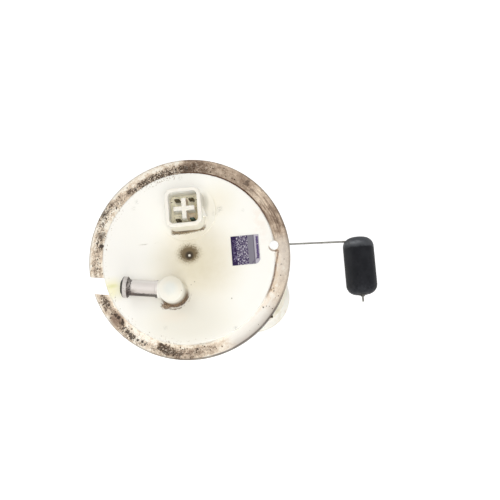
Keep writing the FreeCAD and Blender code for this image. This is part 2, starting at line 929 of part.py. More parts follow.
def case_cover():
    pump_port = (nipple_x, pump_y)
    dirty_port = (dirty_port_x, pump_y)
    clean_port = (neck_x, neck_y)
    riser = (outlet_x, outlet_y)
    web = Part.makeBox(lobe_x, web_w, cover_t, Vec(-lobe_x / 2, lobe_y - web_w / 2, case_top))
    plate = fuse_all(disc(case_r, case_top, cover_top, pump_x, pump_y), [
        chamber_outline(0, case_top, cover_top),
        web,
        duct_body(pump_port, dirty_port),
        duct_body(clean_port, riser),
        disc(riser_socket_d / 2 + riser_socket_wall, case_top + 0.5, cover_socket_top, *riser),
        disc(nipple_socket_d / 2 + nipple_socket_wall, nipple_top - 7.0, case_top + 1.0, *pump_port),
        disc(neck_socket_d / 2 + neck_socket_wall, case_top - neck_h + 0.5, case_top + 1.2, *clean_port),
    ])
    drop_r = duct_bore_r + 0.3
    drop_top = duct_z + duct_bore_r + 0.1
    bores = [
        duct(pump_port, dirty_port, duct_bore_r, duct_z),
        duct(clean_port, riser, duct_bore_r, duct_z),
        disc(drop_r, case_top - 1, drop_top, *dirty_port),
        disc(drop_r, nipple_top - 8.0, drop_top, *pump_port),
        disc(drop_r, case_top - 10, drop_top, *clean_port),
        disc(drop_r, duct_z - duct_bore_r - 0.1, cover_socket_top, *riser),
        disc(nipple_socket_d / 2, nipple_top - 8.0, nipple_top + 1.0, *pump_port),
        disc(neck_socket_d / 2, case_top - 7.5, case_top - 0.3, *clean_port),
        disc(riser_socket_d / 2, cover_socket_top - cover_socket_depth, cover_socket_top + 1, *riser),
    ]
    lead_x = pump_x + terminal_offset
    lead = rounded_box(lead_x - lead_hole_w / 2, lead_x + lead_hole_w / 2, pump_y - lead_hole_l / 2,
                       pump_y + lead_hole_l / 2, case_top - 1, cover_top + 1, 3.0)
    return cut_all(plate, bores + [lead])


def outlet_seal():
    outer = nipple_socket_d / 2 - 0.05
    return ring(outer, nipple_d / 2 + 0.05, nipple_top - 6.0, nipple_top - 1.5, nipple_x, pump_y)


# Filter element


def pleat_points(offset):
    """A zigzag of whole pleats round a loop with two straight sides and round ends."""
    radius = (element_r + element_core_r) / 2
    swing_r = (element_r - element_core_r - paper_rise) / 2
    half = element_half - element_r
    straight = 2 * half
    bend = math.pi * radius
    total = 2 * (straight + bend)
    pleat_count = round(total / pleat_pitch)
    points = []
    for index in range(2 * pleat_count):
        run = total * (index + 0.5) / (2 * pleat_count)
        if run < straight:
            x, y, angle = run - half, 0.0, -90.0
        elif run < straight + bend:
            x, y, angle = half, 0.0, math.degrees((run - straight) / radius) - 90.0
        elif run < 2 * straight + bend:
            x, y, angle = half - (run - straight - bend), 0.0, 90.0
        else:
            x, y, angle = -half, 0.0, math.degrees((run - 2 * straight - bend) / radius) + 90.0
        reach = radius + offset + (swing_r if index % 2 == 0 else -swing_r)
        turn = math.radians(angle)
        points.append((x + reach * math.cos(turn), y + reach * math.sin(turn)))
    return points


def pleated_face(offset):
    points = [Vec(element_x + x, element_y + y, element_low) for x, y in pleat_points(offset)]
    return Part.Face(Part.makePolygon(points + points[:1]))


def filter_element():
    height = Vec(0, 0, element_top - element_low)
    outside = pleated_face(paper_rise / 2).extrude(height)
    return outside.cut(pleated_face(-paper_rise / 2).extrude(height))


def filter_end_caps():
    half = element_half - element_r
    radius = element_r + end_cap_over
    top = stadium(half, radius, element_top, element_top + end_cap_t, element_x, element_y)
    neck = disc(neck_d / 2, element_top, element_top + end_cap_t + neck_h, neck_x, neck_y)
    top = top.fuse(neck).removeSplitter()
    top = top.cut(disc(neck_bore / 2, element_top - 1, element_top + 20, neck_x, neck_y))
    low = stadium(half, radius, element_low - end_cap_t, element_low, element_x, element_y)
    low = low.cut(disc(3.5, element_low - 5, element_low + 5, regulator_x, regulator_y))
    return Part.makeCompound([top, low])


def filter_o_ring():
    minor = (neck_socket_d - neck_d) / 4
    major = (neck_socket_d + neck_d) / 4
    return ring_cord(major, minor, case_top - 3.2, neck_x, neck_y)


# Pump


def pump_shell():
    lip_r = can_r - can_lip - 0.6
    return turned([
        (can_in_r, can_bottom + can_wall),
        (can_in_r, can_top - can_wall),
        (lip_r, can_top - can_wall),
        (lip_r, can_top),
        (can_r - 0.8, can_top),
        (can_r, can_top - 0.8),
        (can_r, can_bottom + 0.8),
        (can_r - 0.8, can_bottom),
        (lip_r, can_bottom),
        (lip_r, can_bottom + can_wall),
    ], pump_x, pump_y)


def brush_places():
    return [(pump_x, pump_y + brush_radius), (pump_x, pump_y - brush_radius)]


def brush_heights():
    low = motor_heights()["commutator_top"] + 0.2
    return low, low + brush_h


def motor_heights():
    """Heights of the motor and pump stages, stacked down from the end cap."""
    cap_low = can_top - can_wall - cap_depth
    commutator_top = cap_low - part_gap
    commutator_low = commutator_top - commutator_t
    core_top = commutator_low - coil_end
    core_low = core_top - core_len
    inlet_low = can_bottom + can_wall
    inlet_high = inlet_low + inlet_t
    impeller_low = inlet_high + impeller_play
    impeller_high = impeller_low + impeller_t
    housing_low = impeller_high + impeller_play
    return {
        "cap_low": cap_low,
        "commutator_top": commutator_top,
        "commutator_low": commutator_low,
        "core_top": core_top,
        "core_low": core_low,
        "coil_low": core_low - coil_end,
        "inlet_low": inlet_low,
        "inlet_high": inlet_high,
        "impeller_low": impeller_low,
        "impeller_high": impeller_high,
        "housing_low": housing_low,
        "housing_high": housing_low + housing_t,
    }


def pump_end_cap():
    heights = motor_heights()
    radius = can_in_r - 0.1
    low = heights["cap_low"]
    brush_low, brush_high = brush_heights()
    cap = turned([
        (0, low),
        (radius, low),
        (radius, can_top - can_wall),
        (radius - can_lip - 0.5, can_top - can_wall),
        (radius - can_lip - 0.5, can_top + cap_rise - 1),
        (radius - can_lip - 1.5, can_top + cap_rise),
        (0, can_top + cap_rise),
    ], pump_x, pump_y)
    nipple = disc(nipple_d / 2, can_top, nipple_top, nipple_x, pump_y)
    posts = [disc(2.2, can_top, can_top + cap_rise + 1.5, x, y) for x, y in terminal_places()]
    cap = fuse_all(cap, [nipple] + posts)
    cuts = [
        disc(nipple_bore / 2, seat_z, nipple_top + 1, nipple_x, pump_y),
        disc(seat_bore / 2, low - 1, seat_z, nipple_x, pump_y),
        disc(bush_d / 2, low - 1, low + bush_len + 0.5, pump_x, pump_y),
        disc(shaft_d / 2 + 0.5, low - 1, low + 6.5, pump_x, pump_y),
    ]
    for x, y in brush_places():
        corner = Vec(x - brush_l / 2 - brush_play, y - brush_w / 2 - brush_play, low - 1)
        height = brush_high + brush_spring_h - low + 1.2
        cuts.append(Part.makeBox(brush_l + 2 * brush_play, brush_w + 2 * brush_play, height, corner))
    for x, y in terminal_places():
        cuts.append(disc(terminal_d / 2, low + 3, can_top + cap_rise + 3, x, y))
    return cut_all(cap, cuts)


def terminal_places():
    x = pump_x + terminal_offset
    return [(x, pump_y + terminal_gap / 2), (x, pump_y - terminal_gap / 2)]


def pump_terminals():
    low = motor_heights()["cap_low"] + 3
    pins = []
    for x, y in terminal_places():
        pin = disc(terminal_d / 2, low, terminal_top, x, y)
        pins.append(round_edges(pin, 0.4, lambda edge: edge.CenterOfMass.z > terminal_top - 0.01))
    return Part.makeCompound(pins)


def brushes():
    low, high = brush_heights()
    blocks = []
    for x, y in brush_places():
        corner = Vec(x - brush_l / 2, y - brush_w / 2, low)
        blocks.append(Part.makeBox(brush_l, brush_w, high - low, corner))
    return Part.makeCompound(blocks)


def brush_springs():
    low = brush_heights()[1]
    high = low + brush_spring_h
    springs = [coil_spring(brush_spring_r, brush_wire_r, low, high, brush_turns, x, y)
               for x, y in brush_places()]
    return Part.makeCompound(springs)


def upper_bush():
    low = motor_heights()["cap_low"]
    seat = low + 0.5
    return ring(bush_d / 2 - 0.02, shaft_d / 2 + shaft_play, seat, seat + bush_len, pump_x, pump_y)


def lower_bush():
    high = motor_heights()["housing_high"]
    return ring(bush_d / 2 - 0.02, shaft_d / 2 + shaft_play, high - bush_len, high + 1.5, pump_x, pump_y)


def magnets():
    heights = motor_heights()
    middle = (heights["core_low"] + heights["core_top"]) / 2
    low, high = middle - magnet_len / 2, middle + magnet_len / 2
    outer = can_in_r - 0.05
    arcs = []
    for side in (0, 180):
        block = ring(outer, outer - magnet_t, low, high)
        wedge = Part.makeCylinder(outer + 1, high - low, Vec(0, 0, low), UP, magnet_angle)
        wedge.rotate(Vec(0, 0, 0), UP, side - magnet_angle / 2)
        arc = block.common(wedge)
        arc.translate(Vec(pump_x, pump_y, 0))
        arcs.append(arc)
    return Part.makeCompound(arcs)


def armature_r():
    return can_in_r - 0.05 - magnet_t - air_gap


def slot_centre_r():
    return armature_r() - slot_r - slot_cover


def armature_core():
    heights = motor_heights()
    low, high = heights["core_low"], heights["core_top"]
    core = disc(armature_r(), low, high)
    cuts = [disc(shaft_d / 2 + 0.01, low - 1, high + 1)]
    for index in range(slot_count):
        slot = disc(slot_r, low - 1, high + 1, slot_centre_r(), 0)
        mouth = Part.makeBox(slot_r + 4, slot_mouth, high - low + 2,
                             Vec(slot_centre_r(), -slot_mouth / 2, low - 1))
        slot = slot.fuse(mouth)
        slot.rotate(Vec(0, 0, 0), UP, 360.0 * index / slot_count)
        cuts.append(slot)
    core = cut_all(core, cuts)
    core.translate(Vec(pump_x, pump_y, 0))
    return core


def armature_winding():
    """Coils through the slots, joined by a rounded bundle at each end of the core."""
    heights = motor_heights()
    low, high = heights["core_low"], heights["core_top"]
    bar_r = slot_r - 0.1
    inner, outer = shaft_d / 2 + 1.6, slot_centre_r() + bar_r + 0.3
    ends = []
    for start, end in ((heights["coil_low"] + 0.3, low), (high, heights["commutator_low"] - 0.3)):
        bundle = ring(outer, inner, start, end)
        far = start if end == low else end
        ends.append(round_edges(bundle, 1.4, lambda edge: abs(edge.CenterOfMass.z - far) < 0.01))
    bars = []
    for index in range(slot_count):
        bar = disc(bar_r, low, high, slot_centre_r(), 0)
        bar.rotate(Vec(0, 0, 0), UP, 360.0 * index / slot_count)
        bars.append(bar)
    winding = fuse_all(ends[0], [ends[1]] + bars)
    winding.translate(Vec(pump_x, pump_y, 0))
    return winding


def commutator():
    heights = motor_heights()
    low, high = heights["commutator_low"], heights["commutator_top"]
    body = ring(commutator_d / 2, shaft_d / 2 + 0.01, low, high)
    cuts = []
    for index in range(slot_count):
        groove = Part.makeBox(commutator_d, 0.5, 1.2, Vec(bush_d / 2 - 0.5, -0.25, high - 1.0))
        groove.rotate(Vec(0, 0, 0), UP, 360.0 * (index + 0.5) / slot_count)
        cuts.append(groove)
    body = cut_all(body, cuts)
    body.translate(Vec(pump_x, pump_y, 0))
    return body


def rotor_shaft():
    heights = motor_heights()
    low = heights["impeller_low"] - 1.0
    high = heights["cap_low"] + 6.0
    shaft = disc(shaft_d / 2, low, high, pump_x, pump_y)
    return shaft


def impeller():
    """A regenerative impeller: a disc with vane pockets milled round both faces of its rim."""
    heights = motor_heights()
    low, high = heights["impeller_low"], heights["impeller_high"]
    radius = impeller_d / 2
    wheel = ring(radius, shaft_d / 2 + 0.01, low, high)
    pocket_h = (high - low) / 2 - 0.35
    pocket_w = 2 * math.pi * (radius - vane_depth) / vane_count * 0.6
    cuts = []
    for index in range(vane_count):
        for start in (low - 1, high - pocket_h):
            pocket = Part.makeBox(vane_depth + 1, pocket_w, pocket_h + 1,
                                  Vec(radius - vane_depth, -pocket_w / 2, start))
            pocket.rotate(Vec(0, 0, 0), UP, 360.0 * index / vane_count)
            cuts.append(pocket)
    wheel = cut_all(wheel, cuts)
    wheel.translate(Vec(pump_x, pump_y, 0))
    return wheel


def flow_channel(z):
    """The pumping groove over the vanes: a round channel that stops short of a full turn."""
    channel = Part.makeTorus(impeller_d / 2 - 1.2, channel_r, Vec(0, 0, z), UP)
    stop = Part.makeCylinder(can_in_r, 4 * channel_r, Vec(0, 0, z - 2 * channel_r), UP, channel_stop)
    stop.rotate(Vec(0, 0, 0), UP, 180 - channel_stop / 2)
    channel = channel.cut(stop)
    channel.translate(Vec(pump_x, pump_y, 0))
    return channel


def impeller_housing():
    heights = motor_heights()
    low, high = heights["housing_low"], heights["housing_high"]
    radius = can_in_r - 0.1
    body = fuse_all(disc(radius, low, high, pump_x, pump_y), [
        disc(bush_d / 2 + 2.0, high - 1, high + 1.5, pump_x, pump_y),
    ])
    port_y = pump_y - impeller_d / 2 + 2.0
    return cut_all(body, [
        disc(bush_d / 2, high - bush_len, high + 2, pump_x, pump_y),
        disc(shaft_d / 2 + 0.5, low - 1, high, pump_x, pump_y),
        flow_channel(low),
        disc(2.0, low - 1, high + 1, pump_x, port_y),
    ])


def inlet_cover():
    heights = motor_heights()
    low, high = heights["inlet_low"], heights["inlet_high"]
    radius = can_in_r - 0.1
    wall_top = heights["housing_low"]
    lip_r = can_r - can_lip - 0.8
    bore_x = pump_x + inlet_offset
    body = fuse_all(disc(radius, low, wall_top, pump_x, pump_y), [
        disc(lip_r, low - 1.8, low, pump_x, pump_y),
        disc(inlet_d / 2, low - inlet_tail, low, bore_x, pump_y),
    ])
    wheel_r = impeller_d / 2 + impeller_play
    return cut_all(body, [
        disc(wheel_r, high, wall_top + 1, pump_x, pump_y),
        disc(shaft_d / 2 + 0.5, high - 1.5, high + 1, pump_x, pump_y),
        flow_channel(high),
        disc(inlet_bore / 2, low - inlet_tail - 1, high + 1, bore_x, pump_y),
    ])


def pump_cushion():
    high = can_bottom
    inner = can_r - can_lip - 0.5
    return ring(can_r - 0.4, inner, high - cushion_t, high, pump_x, pump_y)


def pump_retainer():
    """A ring under the pump with hooks in the case's windows."""
    high = can_bottom - cushion_t
    low = high - retainer_t
    outer = case_in_r - 0.3
    body = disc(outer, low, high)
    hooks = []
    for index in range(retainer_hooks):
        hook = Part.makeBox(case_wall + 1.0, retainer_hook_w, retainer_t - 0.6,
                            Vec(outer - 1, -retainer_hook_w / 2, low + 0.6))
        hook.rotate(Vec(0, 0, 0), UP, 45 + 360.0 * index / retainer_hooks)
        hooks.append(hook)
    body = fuse_all(body, hooks)
    opening = disc(can_r - can_lip - 0.4, low - 1, high + 1)
    inside = disc(outer - 0.5, low - 1, high + 1)
    bars = []
    for y in (-retainer_bar_y, retainer_bar_y):
        corner = Vec(-outer, y - retainer_bar_w / 2, low)
        bars.append(Part.makeBox(2 * outer, retainer_bar_w, retainer_t, corner).common(inside))
    body = fuse_all(body.cut(opening), bars)
    body.translate(Vec(pump_x, pump_y, 0))
    return body


# Check valve


def valve_heights():
    low = seat_z + valve_gap
    return low, low + valve_t


def check_valve():
    """A small poppet with a guide stem; its face closes the nipple's seat."""
    low, top = valve_heights()
    return turned([
        (0, low),
        (valve_d / 2 - 0.3, low),
        (valve_d / 2, low + 0.3),
        (valve_d / 2, top),
        (stem_d / 2, top),
        (stem_d / 2, nipple_top - 1.0),
        (0, nipple_top - 1.0),
    ], nipple_x, pump_y)


def valve_stop():
    high = nipple_top - stop_drop
    stop = ring(nipple_bore / 2 - 0.02, stem_d / 2 + stem_play, high - stop_t, high, nipple_x, pump_y)
    holes = []
    for index in range(3):
        hole = disc(0.55, high - stop_t - 1, high + 1, 1.72, 0)
        hole.rotate(Vec(0, 0, 0), UP, 120.0 * index)
        hole.translate(Vec(nipple_x, pump_y, 0))
        holes.append(hole)
    return cut_all(stop, holes)


def check_valve_spring():
    low = valve_heights()[1]
    high = nipple_top - stop_drop - stop_t
    return coil_spring(valve_spring_r, valve_wire_r, low, high, valve_turns, nipple_x, pump_y)


# Reservoir


def cup_feet():
    feet = []
    for side_x in (-1, 1):
        for side_y in (-1, 1):
            x = side_x * (lobe_x + foot_out)
            y = lobe_y + side_y * (cup_r - foot_inset)
            top = Vec(x, y, cup_base + 0.5)
            feet.append(Part.makeCone(foot_d / 2, foot_d / 2 - 0.8, foot_h + 0.5, top, Vec(0, 0, -1)))
    return feet


def foot_valve_holes():
    holes = [disc(foot_valve_stem / 2, cup_base - 1, cup_floor_top + 1, foot_valve_x, foot_valve_y)]
    for index in range(4):
        hole = disc(foot_valve_hole / 2, cup_base - 1, cup_floor_top + 1, foot_valve_pcd / 2, 0)
        hole.rotate(Vec(0, 0, 0), UP, 45 + 90.0 * index)
        hole.translate(Vec(foot_valve_x, foot_valve_y, 0))
        holes.append(hole)
    return holes


def reservoir_cup():
    outside = stadium(lobe_x, cup_r, cup_base, cup_top, 0, lobe_y)
    outside = round_edges(outside, 1.6, lambda edge: edge.CenterOfMass.z < cup_base + 0.01)
    lip = stadium(lobe_x, cup_r + cup_lip, cup_top - 3 * cup_lip, cup_top, 0, lobe_y)
    inside = stadium(lobe_x, cup_in_r, cup_floor_top, cup_top + 1, 0, lobe_y)
    inside = round_edges(inside, 1.4, lambda edge: edge.CenterOfMass.z < cup_floor_top + 0.01)
    cup = fuse_all(outside, [lip] + cup_feet()).cut(inside)
    windows = [hook_window(wall, cup_hook_z, cup_clear, cup_wall + 1) for wall in ("left", "right")]
    return cut_all(cup, windows + foot_valve_holes())


def foot_valve():
    """A rubber umbrella over the floor's inlet holes, its stem pulled through the middle one."""
    radius = foot_valve_d / 2
    stem = foot_valve_stem / 2 - 0.1
    top = cup_floor_top
    return turned([
        (0, cup_base - 2.6),
        (stem * 0.7, cup_base - 2.6),
        (stem + 0.7, cup_base - 1.0),
        (stem + 0.7, cup_base - 0.1),
        (stem, cup_base - 0.1),
        (stem, top + 0.1),
        (radius, top + 0.1),
        (radius, top + 0.5),
        (radius - 2.0, top + 1.3),
        (0, top + 1.8),
    ], foot_valve_x, foot_valve_y)


# Strainer


def strainer_bag():
    low, high = strainer_z - strainer_t / 2, strainer_z + strainer_t / 2
    skin = strainer_skin
    outer = rounded_box(strainer_x0, strainer_x1, strainer_y0, strainer_y1, low, high, strainer_corner)
    outer = round_edges(outer, strainer_t / 2 - 0.4, lambda edge: abs(edge.tangentAt(0).z) < 0.1)
    inner = rounded_box(strainer_x0 + skin, strainer_x1 - skin, strainer_y0 + skin, strainer_y1 - skin,
                        low + skin, high - skin, strainer_corner - skin)
    inner = round_edges(inner, strainer_t / 2 - 0.4 - skin, lambda edge: abs(edge.tangentAt(0).z) < 0.1)
    mouth = disc(inlet_d / 2 + strainer_neck_wall + 0.05, strainer_z, high + 1, strainer_neck_x, pump_y)
    return cut_all(outer, [inner, mouth])


def strainer_frame():
    """The moulded neck and the skeleton that keeps the bag open."""
    low = strainer_z - strainer_t / 2 + strainer_skin + 0.1
    high = strainer_z + strainer_t / 2 - strainer_skin - 0.1
    neck_r = inlet_d / 2 + strainer_neck_wall
    neck = disc(neck_r, low, strainer_neck_top, strainer_neck_x, pump_y)
    edge = strainer_t / 2 + 0.5
    spine = Part.makeBox(strainer_x1 - strainer_x0 - 2 * edge, strainer_spine_t, high - low,
                         Vec(strainer_x0 + edge, pump_y - strainer_spine_t / 2, low))
    ribs = []
    pitch = (strainer_x1 - strainer_x0 - 2 * strainer_corner) / (strainer_rib_count - 1)
    for index in range(strainer_rib_count):
        rib_x = strainer_x0 + strainer_corner + index * pitch - strainer_rib_t / 2
        ribs.append(Part.makeBox(strainer_rib_t, strainer_y1 - strainer_y0 - 2 * edge, high - low,
                                 Vec(rib_x, strainer_y0 + edge, low)))
    frame = fuse_all(neck, [spine] + ribs)
    bore = disc(inlet_d / 2 + 0.05, low + 2.0, strainer_neck_top + 1, strainer_neck_x, pump_y)
    inset = (high - low) / 4
    windows = []
    for index in range(4):
        window = Part.makeBox(neck_r + 1, strainer_window_w, 2 * inset,
                              Vec(0, -strainer_window_w / 2, low + inset))
        window.rotate(Vec(0, 0, 0), UP, 45 + 90.0 * index)
        window.translate(Vec(strainer_neck_x, pump_y, 0))
        windows.append(window)
    return cut_all(frame, [bore] + windows)


def strainer_clip():
    """A toothed push ring that bites on the inlet pipe above the strainer's neck."""
    low = strainer_neck_top + 0.1
    return turned([
        (inlet_d / 2 + 0.02, low + 0.5),
        (inlet_d / 2 + 0.9, low),
        (inlet_d / 2 + 1.4, low),
        (inlet_d / 2 + 1.4, low + 0.4),
        (inlet_d / 2 + 0.9, low + 0.4),
        (inlet_d / 2 + 0.02, low + 0.9),
    ], strainer_neck_x, pump_y)


# Pressure regulator


def pressure_regulator():
    neck_r = regulator_neck_d / 2
    flange_r = regulator_flange_d / 2
    can = regulator_can_d / 2
    tail = regulator_tail_d / 2
    seat = case_bottom - 0.1
    return turned([
        (1.6, regulator_boss_top - 2.0),
        (neck_r, regulator_boss_top - 2.0),
        (neck_r, seat),
        (flange_r, seat),
        (flange_r, seat - 1.8),
        (can, seat - 2.4),
        (can, regulator_low + 1.2),
        (can - 1.2, regulator_low),
        (tail, regulator_low),
        (tail, regulator_low - regulator_tail),
        (tail - 0.8, regulator_low - regulator_tail),
        (tail - 0.8, regulator_low + 6.0),
        (1.6, regulator_low + 8.0),
    ], regulator_x, regulator_y)


def regulator_o_ring():
    minor = (regulator_socket_d - regulator_neck_d) / 4
    major = (regulator_socket_d + regulator_neck_d) / 4
    return ring_cord(major, minor, case_bottom + 4.0, regulator_x, regulator_y)


def regulator_clip_reach():
    return regulator_flange_d / 2 + clip_reach


def regulator_clip():
    """A sheet yoke under the regulator's flange; windows in its arms catch the case's lugs."""
    top = case_bottom - 0.1 - 2.5
    low = top - clip_sheet
    reach = regulator_clip_reach()
    width = regulator_flange_d
    yoke = Part.makeBox(2 * reach, width, clip_sheet, Vec(-reach, -width / 2, low))
    yoke = yoke.cut(disc(regulator_can_d / 2 + 0.3, low - 2, low + 3))
    arms = []
    windows = []
    for side in (-1, 1):
        x = side * reach - (clip_sheet if side > 0 else 0)
        arms.append(Part.makeBox(clip_sheet, lug_w + 5.0, case_bottom - 0.2 - low,
                                 Vec(x, -lug_w / 2 - 2.5, low)))
        windows.append(Part.makeBox(clip_sheet + 2, lug_w + 0.6, 1.2,
                                    Vec(x - 1, -lug_w / 2 - 0.3, case_bottom - 2.2)))
    clip = cut_all(fuse_all(yoke, arms), windows)
    clip.translate(Vec(regulator_x, regulator_y, 0))
    return clip


def regulator_lugs():
    """Two lugs under the case floor whose catches lean out into the yoke's windows."""
    inside = regulator_clip_reach() - clip_sheet - 0.2
    lugs = []
    for side in (-1, 1):
        face = Part.Face(Part.makePolygon([
            Vec(inside - 1.2, -lug_w / 2, case_bottom + 0.5),
            Vec(inside, -lug_w / 2, case_bottom + 0.5),
            Vec(inside, -lug_w / 2, case_bottom - 1.2),
            Vec(inside + clip_sheet, -lug_w / 2, case_bottom - 1.2),
            Vec(inside, -lug_w / 2, case_bottom - 2.2),
            Vec(inside - 1.2, -lug_w / 2, case_bottom - 2.2),
            Vec(inside - 1.2, -lug_w / 2, case_bottom + 0.5),
        ]))
        lug = face.extrude(Vec(0, lug_w, 0))
        lug.rotate(Vec(0, 0, 0), UP, 0 if side > 0 else 180)
        lug.translate(Vec(regulator_x, regulator_y, 0))
        lugs.append(lug)
    return lugs


# Level sender


def sender_body():
    back = sender_face_y + plate_seat
    edge_front = back + plate_edge_t
    front = plate_front
    height = plate_z1 - plate_z0
    plate = Part.makeBox(plate_x1 - plate_x0, plate_edge_t, height, Vec(plate_x0, back, plate_z0))
    inset = rail_lip + 2 * part_gap
    raised = Part.makeBox(plate_x1 - plate_x0 - 2 * inset, front - back, height,
                          Vec(plate_x0 + inset, back, plate_z0))
    head_y = head_start()
    head = Part.makeCone(post_head_d / 2, post_head_d / 2 - 0.6, post_head_t,
                         Vec(pivot_x, head_y, pivot_z), Vec(0, 1, 0))
    post = Part.makeCylinder(post_d / 2, head_y - front + 1, Vec(pivot_x, front - 1, pivot_z), Vec(0, 1, 0))
    tower = Part.makeBox(tower_w, front - back, tower_h, Vec(pivot_x + 4, back, plate_z1 - 0.5))
    body = fuse_all(plate, [raised, post, head, tower])
    card = Part.makeBox(card_x1 - card_x0 + 0.2, card_t + 1, card_z1 - card_z0 + 0.2,
                        Vec(card_x0 - 0.1, front - card_sink - card_t, card_z0 - 0.1))
    return cut_all(body, [card] + terminal_boxes(0.02))


def head_start():
    return arm_y - wire_r - wire_play - post_head_t - 0.4


def resistor_card():
    return Part.makeBox(card_x1 - card_x0, card_t, card_z1 - card_z0,
                        Vec(card_x0, plate_front - card_sink - card_t, card_z0))


def terminal_boxes(play=0.0):
    back = sender_face_y + plate_seat
    middle = back + plate_body_t / 2
    boxes = []
    for x in (pivot_x + 7.5, pivot_x + 14.5):
        boxes.append(Part.makeBox(2.8 + 2 * play, 0.6 + 2 * play, 11.0,
                                  Vec(x - 1.4 - play, middle - 0.3 - play, plate_z1 - 1.5)))
    return boxes


def sender_terminals():
    return Part.makeCompound(terminal_boxes())


def swing(solid):
    """Turn a shape drawn along +X from the pivot to the arm's rest angle."""
    solid.rotate(Vec(0, 0, 0), Vec(0, 1, 0), arm_drop)
    solid.translate(Vec(pivot_x, 0, pivot_z))
    return solid


def arm_holder():
    """Hub on the post, and a paddle whose lipped clips grip the bent wire."""
    top = arm_y - wire_r - wire_play
    y_axis = Vec(0, 1, 0)
    hub_end = head_start() - part_gap
    hub = Part.makeCylinder(hub_d / 2, hub_end - hub_start, Vec(0, hub_start, 0), y_axis)
    paddle_y = top - paddle_t
    paddle = Part.makeBox(paddle_len, paddle_t, paddle_w, Vec(0, paddle_y, -paddle_w / 2))
    nose = Part.makeCylinder(paddle_w / 2, paddle_t, Vec(0, paddle_y, 0), y_axis)
    half_gap = wire_r + wire_play
    under = -half_gap - clip_wall
    clips = []
    for x in (wire_leg + 3.0, paddle_len - clip_w - 0.5):
        for wall_low, lip_low in ((half_gap, half_gap - 0.3), (under, under)):
            clips.append(Part.makeBox(clip_w, wire_d + 1.1, clip_wall, Vec(x, top - 0.2, wall_low)))
            clips.append(Part.makeBox(clip_w, 0.6, clip_wall + 0.3, Vec(x, top + wire_d + 0.3, lip_low)))
    body = fuse_all(hub, [paddle, nose] + clips)
    bore = Part.makeCylinder(post_d / 2 + post_play, arm_y, Vec(0, 0, 0), y_axis)
    head_room = Part.makeCylinder(post_head_d / 2 + 0.4, arm_y, Vec(0, hub_end, 0), y_axis)
    leg = Part.makeCylinder(half_gap, arm_y, Vec(wire_leg, 0, 0), y_axis)
    room = wire_bend + 1.0
    bend_room = Part.makeBox(room, room, 2 * half_gap, Vec(wire_leg, top - wire_bend - 0.6, -half_gap))
    return swing(cut_all(body, [bore, head_room, leg, bend_room]))


def wiper():
    """A sprung contact strip under the hub, with two fingers over the card's tracks."""
    y_axis = Vec(0, 1, 0)
    low = hub_start - wiper_t
    reach = track_r + track_gap + 1.0
    pad = Part.makeCylinder(hub_d / 2, wiper_t, Vec(0, low, 0), y_axis)
    strip = Part.makeBox(reach - 4, wiper_t, wiper_w, Vec(0, low, -wiper_w / 2))
    slot = Part.makeBox(0.6 * track_r, 4, wiper_w / 5, Vec(reach - 0.75 * track_r, low - 1, -wiper_w / 10))
    contacts = []
    for radius, z in ((track_r, 1.2), (track_r + track_gap, -1.2)):
        finger = Part.makeBox(radius - reach + 6.0, wiper_t, 1.4, Vec(reach - 6.0, low, z - 0.7))
        tip = Part.makeCylinder(0.6, 0.25 + wiper_t, Vec(radius, low - 0.25, z), y_axis)
        contacts += [finger, tip]
    body = fuse_all(pad, [strip] + contacts)
    bore = Part.makeCylinder(post_d / 2 + 0.4, 4, Vec(0, low - 1, 0), y_axis)
    return swing(cut_all(body, [bore, slot]))


def arm_wire():
    """One bent wire: a leg in the holder, the long arm, and the stretch through the float."""
    bend = wire_bend
    tail_end = float_top - float_len - wire_tail
    turn = bend * (1 - math.sqrt(0.5))
    start = Vec(wire_leg, wire_leg_end, 0)
    points = [
        Part.LineSegment(start, Vec(wire_leg, arm_y - bend, 0)),
        Part.Arc(Vec(wire_leg, arm_y - bend, 0), Vec(wire_leg + turn, arm_y - turn, 0),
                 Vec(wire_leg + bend, arm_y, 0)),
        Part.LineSegment(Vec(wire_leg + bend, arm_y, 0), Vec(arm_len - bend, arm_y, 0)),
        Part.Arc(Vec(arm_len - bend, arm_y, 0), Vec(arm_len - turn, arm_y - turn, 0),
                 Vec(arm_len, arm_y - bend, 0)),
        Part.LineSegment(Vec(arm_len, arm_y - bend, 0), Vec(arm_len, tail_end, 0)),
    ]
    path = Part.Wire([piece.toShape() for piece in points])
    section = Part.Wire(Part.makeCircle(wire_r, start, Vec(0, 1, 0)))
    return swing(path.makePipeShell([section], True, False))


def float_solid():
    low = float_top - float_len
    body = Part.makeCylinder(float_d / 2, float_len, Vec(arm_len, low, 0), Vec(0, 1, 0))
    circles = [edge for edge in body.Edges if edge.Closed and abs(edge.Length - math.pi * float_d) < 0.1]
    body = body.makeFillet(float_round, circles)
    bore = Part.makeCylinder(float_bore / 2, float_len + 2, Vec(arm_len, low - 1, 0), Vec(0, 1, 0))
    half = float_bore / 2
    groove = Part.makeBox(float_d, float_top - arm_y + half + 1, float_bore,
                          Vec(arm_len - float_d, arm_y - half, -half))
    well = Part.makeBox(wire_bend + half + 0.6, wire_bend + half + 3.0, float_bore,
                        Vec(arm_len - wire_bend - 0.6, arm_y - wire_bend - half - 0.4, -half))
    return swing(cut_all(body, [bore, groove, well]))


def float_clip():
    """A star washer pressed on the wire under the float."""
    top = float_top - float_len - 0.1
    y_axis = Vec(0, 1, 0)
    washer = Part.makeCylinder(float_clip_d / 2, float_clip_t, Vec(arm_len, top - float_clip_t, 0), y_axis)
    dome = Part.makeCone(1.2, 1.8, 0.8, Vec(arm_len, top - float_clip_t - 0.8, 0), y_axis)
    bore = Part.makeCylinder(wire_r + 0.02, 4, Vec(arm_len, top - 3, 0), y_axis)
    return swing(washer.fuse(dome).removeSplitter().cut(bore))


